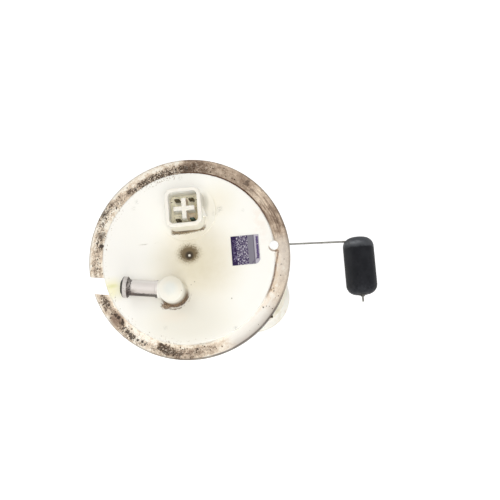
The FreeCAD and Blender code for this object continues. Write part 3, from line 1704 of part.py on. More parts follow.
sub_parts = {
    "flange": flange,
    "connector_pins": connector_pins,
    "label": label,
    "flange_seal": flange_seal,
    "riser_pipe": riser_pipe,
    "riser_o_rings": riser_o_rings,
    "filter_case": filter_case,
    "case_cover": case_cover,
    "filter_element": filter_element,
    "filter_end_caps": filter_end_caps,
    "filter_o_ring": filter_o_ring,
    "outlet_seal": outlet_seal,
    "pump_shell": pump_shell,
    "pump_end_cap": pump_end_cap,
    "pump_terminals": pump_terminals,
    "brushes": brushes,
    "brush_springs": brush_springs,
    "upper_bush": upper_bush,
    "lower_bush": lower_bush,
    "magnets": magnets,
    "armature_core": armature_core,
    "armature_winding": armature_winding,
    "commutator": commutator,
    "rotor_shaft": rotor_shaft,
    "impeller": impeller,
    "impeller_housing": impeller_housing,
    "inlet_cover": inlet_cover,
    "pump_cushion": pump_cushion,
    "pump_retainer": pump_retainer,
    "check_valve": check_valve,
    "valve_stop": valve_stop,
    "check_valve_spring": check_valve_spring,
    "reservoir_cup": reservoir_cup,
    "foot_valve": foot_valve,
    "strainer_bag": strainer_bag,
    "strainer_frame": strainer_frame,
    "strainer_clip": strainer_clip,
    "pressure_regulator": pressure_regulator,
    "regulator_o_ring": regulator_o_ring,
    "regulator_clip": regulator_clip,
    "sender_body": sender_body,
    "resistor_card": resistor_card,
    "sender_terminals": sender_terminals,
    "arm_holder": arm_holder,
    "wiper": wiper,
    "arm_wire": arm_wire,
    "float": float_solid,
    "float_clip": float_clip,
}

os.makedirs("parts", exist_ok=True)
for name, build in sub_parts.items():
    shape = build()
    solids = len(shape.Solids)
    print(name, "solids", solids, "volume", round(shape.Volume, 2), "valid", shape.isValid())
    shape.exportStep("parts/" + name + ".step")
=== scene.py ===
"""The look of an in-tank fuel pump module: stained flange, black foam float, plain pale studio."""
import json
import math
import random

import bmesh
import bpy
from mathutils import Matrix, Vector


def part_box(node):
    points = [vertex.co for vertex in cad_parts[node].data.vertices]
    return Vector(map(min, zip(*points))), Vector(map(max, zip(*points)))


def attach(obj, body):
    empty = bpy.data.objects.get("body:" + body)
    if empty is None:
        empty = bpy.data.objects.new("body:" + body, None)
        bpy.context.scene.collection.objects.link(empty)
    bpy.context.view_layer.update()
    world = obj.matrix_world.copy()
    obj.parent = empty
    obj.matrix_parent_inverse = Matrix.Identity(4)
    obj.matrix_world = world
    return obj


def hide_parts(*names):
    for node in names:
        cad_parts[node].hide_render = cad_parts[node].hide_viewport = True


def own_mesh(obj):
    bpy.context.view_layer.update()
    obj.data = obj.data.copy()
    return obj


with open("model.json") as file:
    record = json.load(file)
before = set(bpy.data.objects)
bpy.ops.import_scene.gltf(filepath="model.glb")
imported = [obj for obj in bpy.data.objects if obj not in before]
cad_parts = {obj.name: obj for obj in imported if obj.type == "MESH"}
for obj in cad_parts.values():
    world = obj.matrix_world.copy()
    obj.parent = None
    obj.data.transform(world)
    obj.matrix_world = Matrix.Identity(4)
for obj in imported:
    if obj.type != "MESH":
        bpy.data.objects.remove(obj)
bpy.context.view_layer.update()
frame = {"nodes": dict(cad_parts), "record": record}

MM = 0.001

# Places and sizes on the flange, in millimetres; turns are in degrees from +X
RIM_R = 60.0
RIM_Z = 3.5
PLATEAU_R = 51.5
PLATEAU_Z = 5.5
NOTCH = (-55.0, -11.2)
NOTCH_HALF = 5.8
NOTCH_TURN = 191.5
ELBOW = (-9.6, -19.8)
CAP_R = 7.7
CAP_DOME_Z = 20.2
SPOUT_TURN = 171.2
SPOUT_NECK = 9.0
COLLAR_R = 7.0
COLLAR_START = 25.4
COLLAR_END = 28.9
SOCKET = (0.9, 27.7)
SOCKET_HALF = (8.5, 9.4)
SOCKET_WALL = 2.3
SOCKET_TOP = 20.1
KEY_REACH = 6.4
STUD = (51.2, 2.4)
STUD_R = 2.6
GATE = (0.8, 1.4)
LABEL = (34.2, 1.4)
LABEL_HALF = 8.3

# Under the flange, in millimetres; the sender's pivot is given as x and z
SENDER_PIVOT = (10.0, -88.0)
FLOOR_Z = -150.0

# The camera, found from the rim's ellipse and the spout's known diameter; its place is in millimetres
CAMERA_AT = (114.248, -158.865, 832.125)
CAMERA_RIGHT = (0.99120806, -0.07685198, -0.1077049)
CAMERA_UP = (0.09551253, 0.97892728, 0.1804958)
CAMERA_BACK = (0.0915638, -0.18919606, 0.97766094)
CAMERA_LENS = 103.68


def linear(color):
    """A colour given as 0 to 255 on screen, in the linear values a shader takes. A node's output stays."""
    def channel(value):
        value = value / 255.0
        return value / 12.92 if value <= 0.04045 else ((value + 0.055) / 1.055) ** 2.4
    if isinstance(color, bpy.types.NodeSocket):
        return color
    return (*[channel(value) for value in color], 1.0)


class Paint:
    """A material being mixed. Fields are node outputs or plain numbers, places are in millimetres, and
    colours are 0 to 255 on screen or node outputs."""

    def __init__(self, name, color, rough):
        self.material = bpy.data.materials.new(name)
        self.material.use_nodes = True
        self.nodes = self.material.node_tree.nodes
        self.links = self.material.node_tree.links
        self.nodes.clear()
        self.shader = self.nodes.new("ShaderNodeBsdfPrincipled")
        output = self.nodes.new("ShaderNodeOutputMaterial")
        self.links.new(self.shader.outputs["BSDF"], output.inputs["Surface"])
        coords = self.nodes.new("ShaderNodeTexCoord")
        scaled = self.nodes.new("ShaderNodeVectorMath")
        scaled.operation = "SCALE"
        scaled.inputs["Scale"].default_value = 1 / MM
        self.links.new(coords.outputs["Object"], scaled.inputs[0])
        self.place = scaled.outputs["Vector"]
        self.x, self.y, self.z = self.split(self.place)
        facing = self.nodes.new("ShaderNodeNewGeometry")
        self.normal = facing.outputs["Normal"]
        self.color = color
        self.rough = rough
        self.height = None

    def split(self, vector):
        node = self.nodes.new("ShaderNodeSeparateXYZ")
        self.links.new(vector, node.inputs[0])
        return node.outputs["X"], node.outputs["Y"], node.outputs["Z"]

    def feed(self, socket, value):
        if isinstance(value, bpy.types.NodeSocket):
            self.links.new(value, socket)
        else:
            socket.default_value = value

    def calc(self, operation, *values):
        node = self.nodes.new("ShaderNodeMath")
        node.operation = operation
        for socket, value in zip(node.inputs, values):
            self.feed(socket, value)
        return node.outputs[0]

    def chain(self, operation, values):
        total = values[0]
        for value in values[1:]:
            total = self.calc(operation, total, value)
        return total

    def add(self, *values):
        return self.chain("ADD", values)

    def times(self, *values):
        return self.chain("MULTIPLY", values)

    def most(self, *values):
        return self.chain("MAXIMUM", values)

    def less(self, value, taken):
        return self.calc("SUBTRACT", value, taken)

    def sway(self, noise, amount):
        """A noise about 0.5 as a shift about 0, this large from end to end."""
        return self.times(self.less(noise, 0.5), amount)

    def invert(self, value):
        return self.less(1.0, value)

    def step(self, value, start, end, low=0.0, high=1.0):
        """A smooth step from low at start to high at end."""
        node = self.nodes.new("ShaderNodeMapRange")
        node.interpolation_type = "SMOOTHSTEP"
        for key, entry in (("Value", value), ("From Min", start), ("From Max", end),
                           ("To Min", low), ("To Max", high)):
            self.feed(node.inputs[key], entry)
        return node.outputs["Result"]

    def band(self, value, low, high, soft):
        """1 between low and high, falling to 0 over the soft width outside."""
        return self.times(self.step(value, low - soft, low), self.step(value, high + soft, high))

    def bell(self, value, middle, width):
        """1 at the middle, falling to 0 at the width on either side."""
        return self.step(self.away(value, middle), width, 0.0)

    def away(self, value, middle):
        """How far a value is from the middle, on either side."""
        return self.calc("ABSOLUTE", self.less(value, middle))

    def hypot(self, *values):
        return self.calc("SQRT", self.add(*[self.times(value, value) for value in values]))

    def distance(self, x, y, squash=(1.0, 1.0)):
        """How far off a place in plan is, with each axis stretched."""
        dx = self.times(self.less(self.x, x), 1 / squash[0])
        dy = self.times(self.less(self.y, y), 1 / squash[1])
        return self.hypot(dx, dy)

    def spot(self, x, y, inner, outer, squash=(1.0, 1.0)):
        """1 within the inner radius of a place in plan, 0 beyond the outer one."""
        return self.step(self.distance(x, y, squash), outer, inner)

    def moved(self, stretch=(1, 1, 1), shift=0.0, place=None):
        """Places for a texture, drawn out along each axis and taken from another part of it."""
        node = self.nodes.new("ShaderNodeMapping")
        node.inputs["Scale"].default_value = [1 / value for value in stretch]
        node.inputs["Location"].default_value = (shift, shift * 0.7, shift * 1.3)
        self.links.new(self.place if place is None else place, node.inputs["Vector"])
        return node.outputs["Vector"]

    def unrolled(self, seam):
        """Places round the Z axis laid out flat: millimetres along the rim, radius, height."""
        start = math.radians(seam)
        ahead = self.add(self.times(self.x, -math.cos(start)), self.times(self.y, -math.sin(start)))
        aside = self.add(self.times(self.x, math.sin(start)), self.times(self.y, -math.cos(start)))
        node = self.nodes.new("ShaderNodeCombineXYZ")
        self.links.new(self.times(self.calc("ARCTAN2", aside, ahead), RIM_R), node.inputs["X"])
        self.links.new(self.hypot(self.x, self.y), node.inputs["Y"])
        self.links.new(self.z, node.inputs["Z"])
        return node.outputs["Vector"]

    def noise(self, size, detail=3.0, rough=0.55, stretch=(1, 1, 1), shift=0.0, place=None):
        """Cloudy noise about 0.5 whose lumps are about size millimetres across."""
        node = self.nodes.new("ShaderNodeTexNoise")
        node.inputs["Scale"].default_value = 1 / size
        node.inputs["Detail"].default_value = detail
        node.inputs["Roughness"].default_value = rough
        self.links.new(self.moved(stretch, shift, place), node.inputs["Vector"])
        return node.outputs["Fac"]

    def ramp(self, value, stops):
        """Colours along a value, from (value, colour) pairs."""
        node = self.nodes.new("ShaderNodeValToRGB")
        entries = node.color_ramp.elements
        for entry, (position, color) in ((entries[0], stops[0]), (entries[1], stops[-1])):
            entry.position, entry.color = position, linear(color)
        for position, color in stops[1:-1]:
            entries.new(position).color = linear(color)
        self.feed(node.inputs["Fac"], value)
        return node.outputs["Color"]

    def cell_grid(self, size, feature="F1", shift=0.0):
        node = self.nodes.new("ShaderNodeTexVoronoi")
        node.feature = feature
        node.inputs["Scale"].default_value = 1 / size
        self.links.new(self.moved(shift=shift), node.inputs["Vector"])
        return node.outputs

    def cells(self, size, feature="F1", shift=0.0):
        """The distance from each cell's middle or edge, in cells about size millimetres across."""
        return self.cell_grid(size, feature, shift)["Distance"]

    def specks(self, size, share, shift=0.0):
        """Scattered ragged dots, about size across, in the given share of the cells."""
        grid = self.cell_grid(2.2 * size, shift=shift)
        chosen = self.split(grid["Color"])[0]
        ragged = self.sway(self.noise(size * 0.6, 2, shift=shift), 0.35)
        dot = self.step(self.add(grid["Distance"], ragged), 0.30, 0.18)
        return self.times(dot, self.calc("LESS_THAN", chosen, share))

    def curve(self, value, points):
        """A curve through given points: (input, output) pairs between 0 and 1."""
        node = self.nodes.new("ShaderNodeFloatCurve")
        points = sorted(points)
        line = node.mapping.curves[0]
        line.points[0].location = points[0]
        line.points[1].location = points[-1]
        for where in points[1:-1]:
            line.points.new(*where)
        node.mapping.update()
        self.feed(node.inputs["Value"], value)
        return node.outputs["Value"]

    def mix(self, amount, first, second):
        node = self.nodes.new("ShaderNodeMix")
        node.data_type = "RGBA"
        node.clamp_factor = True
        self.feed(node.inputs[0], amount)
        self.feed(node.inputs[6], linear(first))
        self.feed(node.inputs[7], linear(second))
        return node.outputs[2]

    def stain(self, color, *amounts):
        """Lays a colour over what is there, as thickly as the amounts say when multiplied together."""
        self.color = self.mix(self.times(*amounts), self.color, color)

    def worn(self, amount, rough):
        """Moves the roughness towards another value by an amount."""
        change = self.less(rough, self.rough)
        self.rough = self.add(self.rough, self.times(change, amount))

    def raise_by(self, field, millimetres):
        step = self.times(field, millimetres)
        self.height = step if self.height is None else self.add(self.height, step)

    def brightness(self):
        """How light the colour mixed so far is, from 0 to 1."""
        node = self.nodes.new("ShaderNodeRGBToBW")
        self.feed(node.inputs[0], linear(self.color))
        return node.outputs[0]

    def facing(self, axis):
        """How far the surface faces along +X, +Y or +Z, from 0 to 1."""
        value = self.split(self.normal)["XYZ".index(axis)]
        return self.calc("MAXIMUM", value, 0.0)

    def done(self, **sockets):
        self.feed(self.shader.inputs["Base Color"], linear(self.color))
        self.feed(self.shader.inputs["Roughness"], self.rough)
        for key, value in sockets.items():
            self.feed(self.shader.inputs[key.replace("_", " ")], value)
        if self.height is not None:
            bump = self.nodes.new("ShaderNodeBump")
            bump.inputs["Distance"].default_value = MM
            self.links.new(self.height, bump.inputs["Height"])
            self.links.new(bump.outputs["Normal"], self.shader.inputs["Normal"])
        return self.material


def turn_field(paint):
    """The angle about the flange's axis, in turns from 0 to 1 anticlockwise from +X."""
    return paint.calc("FRACT", paint.times(paint.calc("ARCTAN2", paint.y, paint.x), 0.5 / math.pi))


def round_the_clock(paint, value, points):
    """A curve over a full turn, from (degrees, amount) pairs."""
    pairs = [((degrees % 360) / 360, amount) for degrees, amount in points]
    pairs.sort()
    first, last = pairs[0], pairs[-1]
    gap = first[0] + 1 - last[0]
    seam = last[1] + (first[1] - last[1]) * (1 - last[0]) / gap
    return paint.curve(value, [(0.0, seam)] + [pair for pair in pairs if pair[0] > 0.002] + [(1.0, seam)])


# The rim's dirt round the clock, as (degrees from +X, amount) pairs: how brown the film is, how thick the
# speckled crust is, how far out it sits (0 at the plateau, 1 at the edge), how dark the plateau's foot is
RIM_FILM = [
    (0, 0.38), (8, 0.46), (14, 0.66), (22, 0.66), (30, 0.52), (37, 0.38), (43, 0.46), (49, 0.70),
    (56, 0.58), (66, 0.58), (76, 0.74), (85, 0.92), (90, 0.90), (92.5, 0.50), (97, 0.44), (108, 0.44),
    (120, 0.44), (130, 0.38), (138, 0.38), (147, 0.24), (156, 0.20), (165, 0.28), (175, 0.34), (183, 0.28),
    (198, 0.38), (205, 0.42), (210, 0.42), (216, 0.58), (222, 0.32), (230, 0.24), (238, 0.16), (244, 0.22),
    (249, 0.55), (257, 0.62), (266, 0.56), (274, 0.46), (282, 0.30), (290, 0.14), (310, 0.06), (324, 0.24),
    (336, 0.30), (350, 0.30),
]
RIM_CRUST = [
    (2, 0.10), (30, 0.06), (60, 0.20), (80, 0.42), (90, 0.50), (94, 0.85), (108, 1.0), (117, 0.85),
    (124, 0.62), (131, 0.40), (138, 0.62), (147, 0.85), (155, 0.55), (162, 0.70), (172, 0.50), (182, 0.55),
    (198, 0.50), (203, 0.72), (209, 0.45), (217, 0.50), (225, 0.55), (236, 0.55), (241, 0.35), (248, 0.85),
    (256, 0.80), (264, 0.45), (274, 0.50), (283, 0.30), (290, 0.06), (318, 0.05), (325, 0.12), (340, 0.10),
]
RIM_LEAN = [
    (5, 0.60), (20, 0.75), (35, 0.55), (48, 0.55), (62, 0.45), (80, 0.42), (95, 0.30), (120, 0.20),
    (128, 0.30), (140, 0.55), (147, 0.80), (160, 0.45), (178, 0.45), (203, 0.50), (212, 0.45), (219, 0.50),
    (226, 0.66), (238, 0.66), (250, 0.50), (262, 0.65), (275, 0.50), (318, 0.80), (332, 0.85), (350, 0.60),
]
FOOT_LINE = [
    (0, 0.95), (8, 0.15), (20, 0.60), (32, 0.85), (45, 1.0), (80, 1.0), (90, 0.80), (96, 0.10), (150, 0.0),
    (200, 0.0), (262, 0.0), (275, 0.20), (290, 0.0), (320, 0.0), (328, 0.30), (335, 0.9), (350, 1.0),
]

# How dark the rim's outer edge is round the clock, with dirt and with painted shade, darkest from 262 to
# 318 degrees
EDGE_DIRT_AND_SHADE = [
    (0, 0.30), (30, 0.60), (60, 0.35), (90, 0.30), (150, 0.50), (200, 0.30), (230, 0.5), (262, 0.8),
    (290, 1.0), (318, 0.95), (335, 0.55), (350, 0.30),
]

# Rubs on the plateau: x, y, size, strength; and specks: x, y, size
PLATE_RUBS = [
    (20.6, 27.5, 3.0, 0.45), (17.8, 25.0, 2.6, 0.30), (34.6, 25.4, 1.3, 0.35), (-1.6, 48.6, 2.4, 0.22),
    (-28.4, 36.7, 2.0, 0.32), (-30.6, 33.0, 2.0, 0.22), (-16.2, -40.2, 2.0, 0.30), (24.8, -44.4, 2.2, 0.40),
]
PLATE_SPECKS = [(23.9, -26.5, 0.55), (2.8, -14.6, 0.5), (0.6, -16.2, 0.4), (-3.2, -21.5, 0.35)]

# Dark clots of mud on the rim: degrees, radius, size, strength
RIM_CLOTS = [
    (48, 56.6, 1.7, 0.55), (43, 55.0, 1.2, 0.40), (88, 54.4, 1.6, 0.60), (123, 53.4, 0.9, 0.9),
    (127, 54.9, 1.5, 0.75), (147, 58.6, 1.7, 0.55), (153, 56.0, 1.0, 0.6), (160.5, 54.4, 1.8, 0.65),
    (203, 55.6, 1.3, 0.85), (207, 57.4, 0.9, 0.6), (215.4, 54.0, 1.0, 0.95), (218.6, 53.3, 1.0, 0.95),
    (225.6, 56.4, 1.1, 0.9), (228.4, 56.6, 1.1, 0.9), (231.0, 55.8, 0.8, 0.85), (233.8, 56.7, 0.8, 0.95),
    (236.6, 56.0, 0.9, 0.95), (248.2, 53.2, 0.9, 0.9), (248.4, 55.6, 1.0, 0.85), (253.5, 56.2, 1.3, 0.65),
    (257.5, 56.6, 1.4, 0.6), (271.6, 54.4, 0.6, 0.8), (321.6, 53.3, 0.5, 0.85), (323.2, 54.6, 0.35, 0.7),
    (333.8, 52.6, 0.8, 0.75), (335.2, 53.6, 0.5, 0.65), (351.0, 55.2, 0.6, 0.4), (166.8, 52.9, 1.6, 1.0),
    (158.5, 53.8, 1.1, 0.6), (205.0, 54.6, 1.0, 0.8), (219.5, 54.6, 1.3, 0.9),
    (213.0, 54.6, 1.1, 0.8), (222.5, 56.0, 1.0, 0.8), (229.8, 57.4, 0.9, 0.9), (239.0, 56.6, 0.9, 0.85),
    (250.4, 54.2, 1.1, 0.8), (251.5, 57.2, 1.0, 0.75), (261.0, 56.9, 1.1, 0.55),
]


def plateau_marks(paint, patchy, fine):
    """The plate inside the rim: warm about the gate, greyer lower down, with a few rubs and specks."""
    warm = paint.times(paint.spot(5, -4, 3, 36), paint.step(patchy, 0.2, 0.8, 0.85, 1.0))
    paint.stain((222, 213, 187), warm)
    paint.stain((234, 230, 216), paint.spot(-2, -38, 6, 27, (1.4, 0.8)), 0.85)
    paint.stain((243, 237, 220), paint.spot(20, 32, 1, 17), 0.75)
    paint.stain((244, 232, 214), paint.spot(-11, -34, 1, 8, (1.6, 0.7)), 0.35)
    flush = paint.times(paint.spot(44, 18, 2, 14, (0.5, 1.6)), paint.step(patchy, 0.35, 0.65))
    paint.stain((249, 234, 222), flush, 0.55)
    # Painted shadow on the plate just beside the socket's +X wall
    shadow_beside_socket = paint.times(paint.spot(12.6, 32.5, 0.8, 4.2, (0.7, 1.9)), paint.step(paint.x, 11.0, 11.6))
    paint.stain((176, 172, 156), shadow_beside_socket, 0.45)
    for x, y, size, strength in PLATE_RUBS:
        rub = paint.times(paint.spot(x, y, 0.3, size), paint.step(fine, 0.38, 0.58))
        paint.stain((168, 168, 156), rub, strength)
    for x, y, size in PLATE_SPECKS:
        paint.stain((150, 138, 112), paint.spot(x, y, size * 0.4, size), 0.75)
    scratch = paint.times(paint.bell(paint.add(paint.y, paint.times(patchy, 1.2)), 11.2, 0.45),
                          paint.band(paint.x, -26, -18, 4), paint.step(patchy, 0.40, 0.62))
    paint.stain((188, 178, 166), scratch, 0.75)

    # Yellow fuel mark between the nose of the spout and the notch
    mark = paint.times(paint.spot(-46.5, -14.5, 1.5, 10.5, (1.2, 0.9)),
                       paint.step(patchy, 0.25, 0.65, 0.5, 1.0))
    paint.stain((251, 243, 196), mark, 0.80)
    paint.stain((222, 222, 150), paint.spot(-46.5, -12.6, 0.2, 3.2, (1.6, 0.6)), 0.55)

    # Gate mark: a ragged brown smudge with a bright pip
    ragged = paint.add(paint.distance(0.6, 2.4, (1.15, 1.0)), paint.sway(fine, 5.5))
    paint.stain((158, 140, 100), paint.step(ragged, 8.2, 3.4), 0.66)
    smudge = paint.step(ragged, 6.0, 3.2)
    paint.stain((88, 68, 36), smudge, 0.84)
    paint.worn(smudge, 0.8)
    paint.stain((46, 36, 22), paint.step(paint.distance(*GATE), 3.2, 1.7), 0.85)
    paint.stain((244, 238, 224), paint.step(paint.distance(*GATE), 0.9, 0.55))


def rim_dirt(paint, around, radius):
    """The rim's brown film, its speckled crust, painted shade darkening it outward at the right and lower
    right, and the lines of dirt at its two edges, the outer one also painted shade.
    """
    degrees = paint.times(around, 360)
    rolled = paint.unrolled(NOTCH_TURN)
    patches = paint.noise(3.0, 4, 0.68, (1.5, 1, 1), 2, rolled)
    speckle = paint.noise(0.62, 3, 0.75, (1.2, 1, 1), 6, rolled)
    crumbs = paint.noise(1.45, 3, 0.7, (1.2, 1, 1), 17, rolled)
    streaks = paint.noise(1.0, 3, 0.6, (9, 1, 1), 4, rolled)
    topside = paint.step(paint.z, -1.0, 0.0)
    rim = paint.times(paint.step(radius, PLATEAU_R - 0.1, PLATEAU_R + 0.3), topside)
    out = paint.times(paint.less(radius, PLATEAU_R), 1 / (RIM_R - PLATEAU_R))
    film = round_the_clock(paint, around, RIM_FILM)
    crust = round_the_clock(paint, around, RIM_CRUST)
    lean = round_the_clock(paint, around, RIM_LEAN)
    near = paint.step(paint.away(out, lean), 0.55, 0.15)

    streaky = paint.times(paint.band(degrees, 10, 46, 8), paint.sway(streaks, 1.2))
    mottle = paint.step(crust, 0.1, 0.7, 0.5, 1.0)
    whole = paint.most(paint.step(degrees, 92, 84), paint.step(degrees, 325, 345))
    spread = paint.step(near, 0, 1, paint.add(paint.times(whole, 0.70), 0.18), 1.02)
    depth = paint.add(paint.times(film, spread),
                      paint.times(mottle, paint.add(paint.sway(patches, 1.9), paint.sway(speckle, 1.1))),
                      streaky)
    brown = paint.ramp(depth, [(0.0, (253, 246, 232)), (0.24, (228, 209, 185)), (0.48, (194, 173, 151)),
                               (0.72, (148, 126, 106)), (1.0, (96, 76, 59))])
    paint.stain(brown, rim)
    # Painted shade: from 330 degrees round to 12 the rim's brown is greyed and darkened outward towards its
    # edge
    right_outward_shade = paint.most(paint.step(degrees, 12, 2), paint.step(degrees, 330, 352))
    paint.stain(paint.ramp(out, [(0.0, (246, 240, 230)), (0.5, (222, 215, 205)), (1.0, (186, 178, 168))]),
                rim, right_outward_shade, 0.55)
    # Painted shade at the lower right: near white by the plateau, darkening to grey at the rim's edge
    pale = paint.times(rim, paint.step(degrees, 287, 297), paint.step(degrees, 338, 318))
    outward_shade_ramp = paint.ramp(out, [(0.0, (250, 247, 240)), (0.45, (236, 231, 222)),
                            (0.80, (200, 192, 182)), (1.0, (148, 140, 130))])
    paint.stain(outward_shade_ramp, pale, 0.9)

    level = paint.times(crust, near)
    fine_dots = paint.step(paint.add(speckle, paint.times(level, 0.18)), 0.73, 0.77)
    crumb_dots = paint.step(paint.add(crumbs, paint.times(level, 0.25)), 0.77, 0.80)
    cracks = paint.times(paint.step(paint.cells(2.3, "DISTANCE_TO_EDGE", 3), 0.055, 0.02),
                         paint.step(level, 0.3, 0.6), paint.step(patches, 0.42, 0.52))
    dots = paint.times(rim, paint.most(paint.times(fine_dots, 0.82), paint.times(crumb_dots, 0.96),
                                       paint.times(cracks, 0.8)))
    paint.stain((58, 43, 28), dots)
    light = paint.times(paint.step(paint.noise(1.1, 2, 0.6, (1, 1, 1), 31, rolled), 0.56, 0.61), level)
    paint.stain((248, 234, 214), rim, light, 0.85)
    patch = paint.step(paint.add(paint.distance(-45.1, -32.7), paint.times(patches, 8.0)), 9.5, 6.5)
    paint.stain((126, 98, 80), rim, patch, 0.6)
    clots = 0.0
    for bearing, where, size, strength in RIM_CLOTS:
        x, y = where * math.cos(math.radians(bearing)), where * math.sin(math.radians(bearing))
        ragged = paint.add(paint.distance(x, y), paint.sway(crumbs, size * 3.4))
        clots = paint.most(clots, paint.times(paint.step(ragged, size, size * 0.8), strength))
    paint.stain((54, 38, 24), rim, clots)
    dots = paint.most(dots, paint.times(rim, clots))

    line = round_the_clock(paint, around, FOOT_LINE)
    swerve = paint.times(paint.step(degrees, 350, 360), -1.2)
    rusty = paint.step(degrees, 300, 330)
    wander = paint.add(radius, swerve, paint.sway(speckle, 0.8))
    foot = paint.times(paint.band(wander, PLATEAU_R - 0.1, PLATEAU_R + 0.65, 0.3), topside, line,
                       paint.invert(rusty))
    paint.stain((84, 48, 18), foot)
    rust = paint.times(rusty, line, paint.bell(wander, PLATEAU_R + 0.4, 0.95), topside,
                       paint.step(crumbs, 0.38, 0.54, 0.6, 1.0))
    paint.stain((84, 46, 20), rust)
    glow = paint.times(rim, rusty, paint.bell(radius, PLATEAU_R + 1.4, 2.6), paint.step(patches, 0.35, 0.6))
    paint.stain((238, 206, 168), glow, 0.40)
    spill = paint.times(paint.band(radius, PLATEAU_R - 2.2, PLATEAU_R - 0.1, 1.6),
                        paint.step(paint.z, PLATEAU_Z - 1.5, PLATEAU_Z - 0.5),
                        paint.step(paint.add(crumbs, paint.times(crust, 0.17)), 0.71, 0.76))
    paint.stain((158, 136, 108), spill, 0.75)

    # Dark outer edge of the rim: dirt, and painted shade strongest at the lower right
    edge_dirt_and_shade = paint.times(paint.step(radius, RIM_R - 1.2, RIM_R - 0.3), topside,
                       round_the_clock(paint, around, EDGE_DIRT_AND_SHADE))
    paint.stain((84, 74, 63), edge_dirt_and_shade, paint.step(streaks, 0.25, 0.6, 0.6, 1.0))
    return rim, film, dots


def socket_dirt(paint, patchy, fine):
    """A clean white wall, a floor beige going olive and darker towards the +X, -Y corner, painted shade on
    the key column's +X sides, crumbs in the corners, mud under the foot.
    """
    dx = paint.away(paint.x, SOCKET[0])
    dy = paint.away(paint.y, SOCKET[1])
    outer_x, outer_y = (half + SOCKET_WALL for half in SOCKET_HALF)

    def within(reach_x, reach_y, start, end):
        """1 inside this reach from the socket's middle, with the step from start to end past it."""
        return paint.times(paint.step(dx, reach_x + start, reach_x + end),
                           paint.step(dy, reach_y + start, reach_y + end))

    inside = within(*SOCKET_HALF, 0.02, -0.1)
    wall = within(*SOCKET_HALF, 0.3, 0.1)
    depth = paint.times(wall, paint.step(paint.z, SOCKET_TOP - 0.8, PLATEAU_Z + 2.5))
    low = paint.times(inside, paint.step(paint.z, PLATEAU_Z + 3.5, PLATEAU_Z + 1.5))
    paint.stain((255, 252, 240), depth, 0.9)
    paint.stain((255, 248, 226), low)
    # The floor goes from beige to a darker olive towards the +X, -Y corner
    corner = paint.add(paint.times(paint.less(paint.x, SOCKET[0]), 0.09),
                       paint.times(paint.less(paint.y, SOCKET[1]), -0.07), paint.sway(patchy, 1.6))
    paint.stain((226, 212, 158), low, paint.step(corner, -0.1, 1.1))
    paint.stain((112, 126, 100), low, paint.step(corner, 0.75, 1.45), 0.9)
    clotted = paint.times(low, paint.step(paint.noise(1.6, 4, 0.65, shift=2), 0.58, 0.68))
    paint.stain((150, 130, 80), clotted, 0.55)
    blush = paint.times(low, paint.spot(SOCKET[0] + 3.2, SOCKET[1] - 4.0, 1.0, 4.0))
    paint.stain((228, 208, 190), blush, 0.7)
    paint.stain((70, 58, 36), inside, paint.step(paint.z, SOCKET_TOP - 4, SOCKET_TOP - 6),
                paint.specks(0.6, 0.12, 6))
    column = paint.times(within(KEY_REACH, KEY_REACH, 0.2, -0.2),
                         paint.step(paint.z, PLATEAU_Z + 2.0, PLATEAU_Z + 4.5))
    paint.stain((254, 250, 238), column)
    # Painted shade on the key column's sides that face +X, below its top
    column_side_shade = paint.times(column, paint.step(paint.z, SOCKET_TOP - 4.4, SOCKET_TOP - 5.4), paint.facing("X"))
    paint.stain((222, 198, 180), column_side_shade, 0.75)
    foot_x = paint.most(paint.less(dx, outer_x - 3.0), 0.0)
    foot_y = paint.most(paint.less(dy, outer_y - 3.0), 0.0)
    crumbly = paint.noise(0.75, 4, 0.75, shift=14)
    from_wall = paint.add(paint.hypot(foot_x, foot_y), -3.0, paint.sway(crumbly, -5.0),
                          paint.step(paint.x, -1, 8, 0.0, 1.1))
    foot = paint.times(paint.step(from_wall, 1.9, 1.6), paint.step(paint.y, 20, 16),
                       paint.step(paint.x, -9.8, -7.6),
                       paint.step(paint.z, PLATEAU_Z + 2.1, PLATEAU_Z + 1.6))
    paint.stain(paint.mix(paint.step(fine, 0.42, 0.6), (88, 68, 38), (150, 130, 92)), foot, 0.92)
    shroud = paint.times(within(outer_x, outer_y, 0.6, 0.3),
                         paint.step(paint.z, PLATEAU_Z + 2.2, PLATEAU_Z + 3.2))
    top = paint.times(shroud, paint.step(paint.z, SOCKET_TOP - 4.6, SOCKET_TOP - 4.2), paint.facing("Z"))
    paint.stain((249, 240, 227), top, 0.8)
    return low, shroud


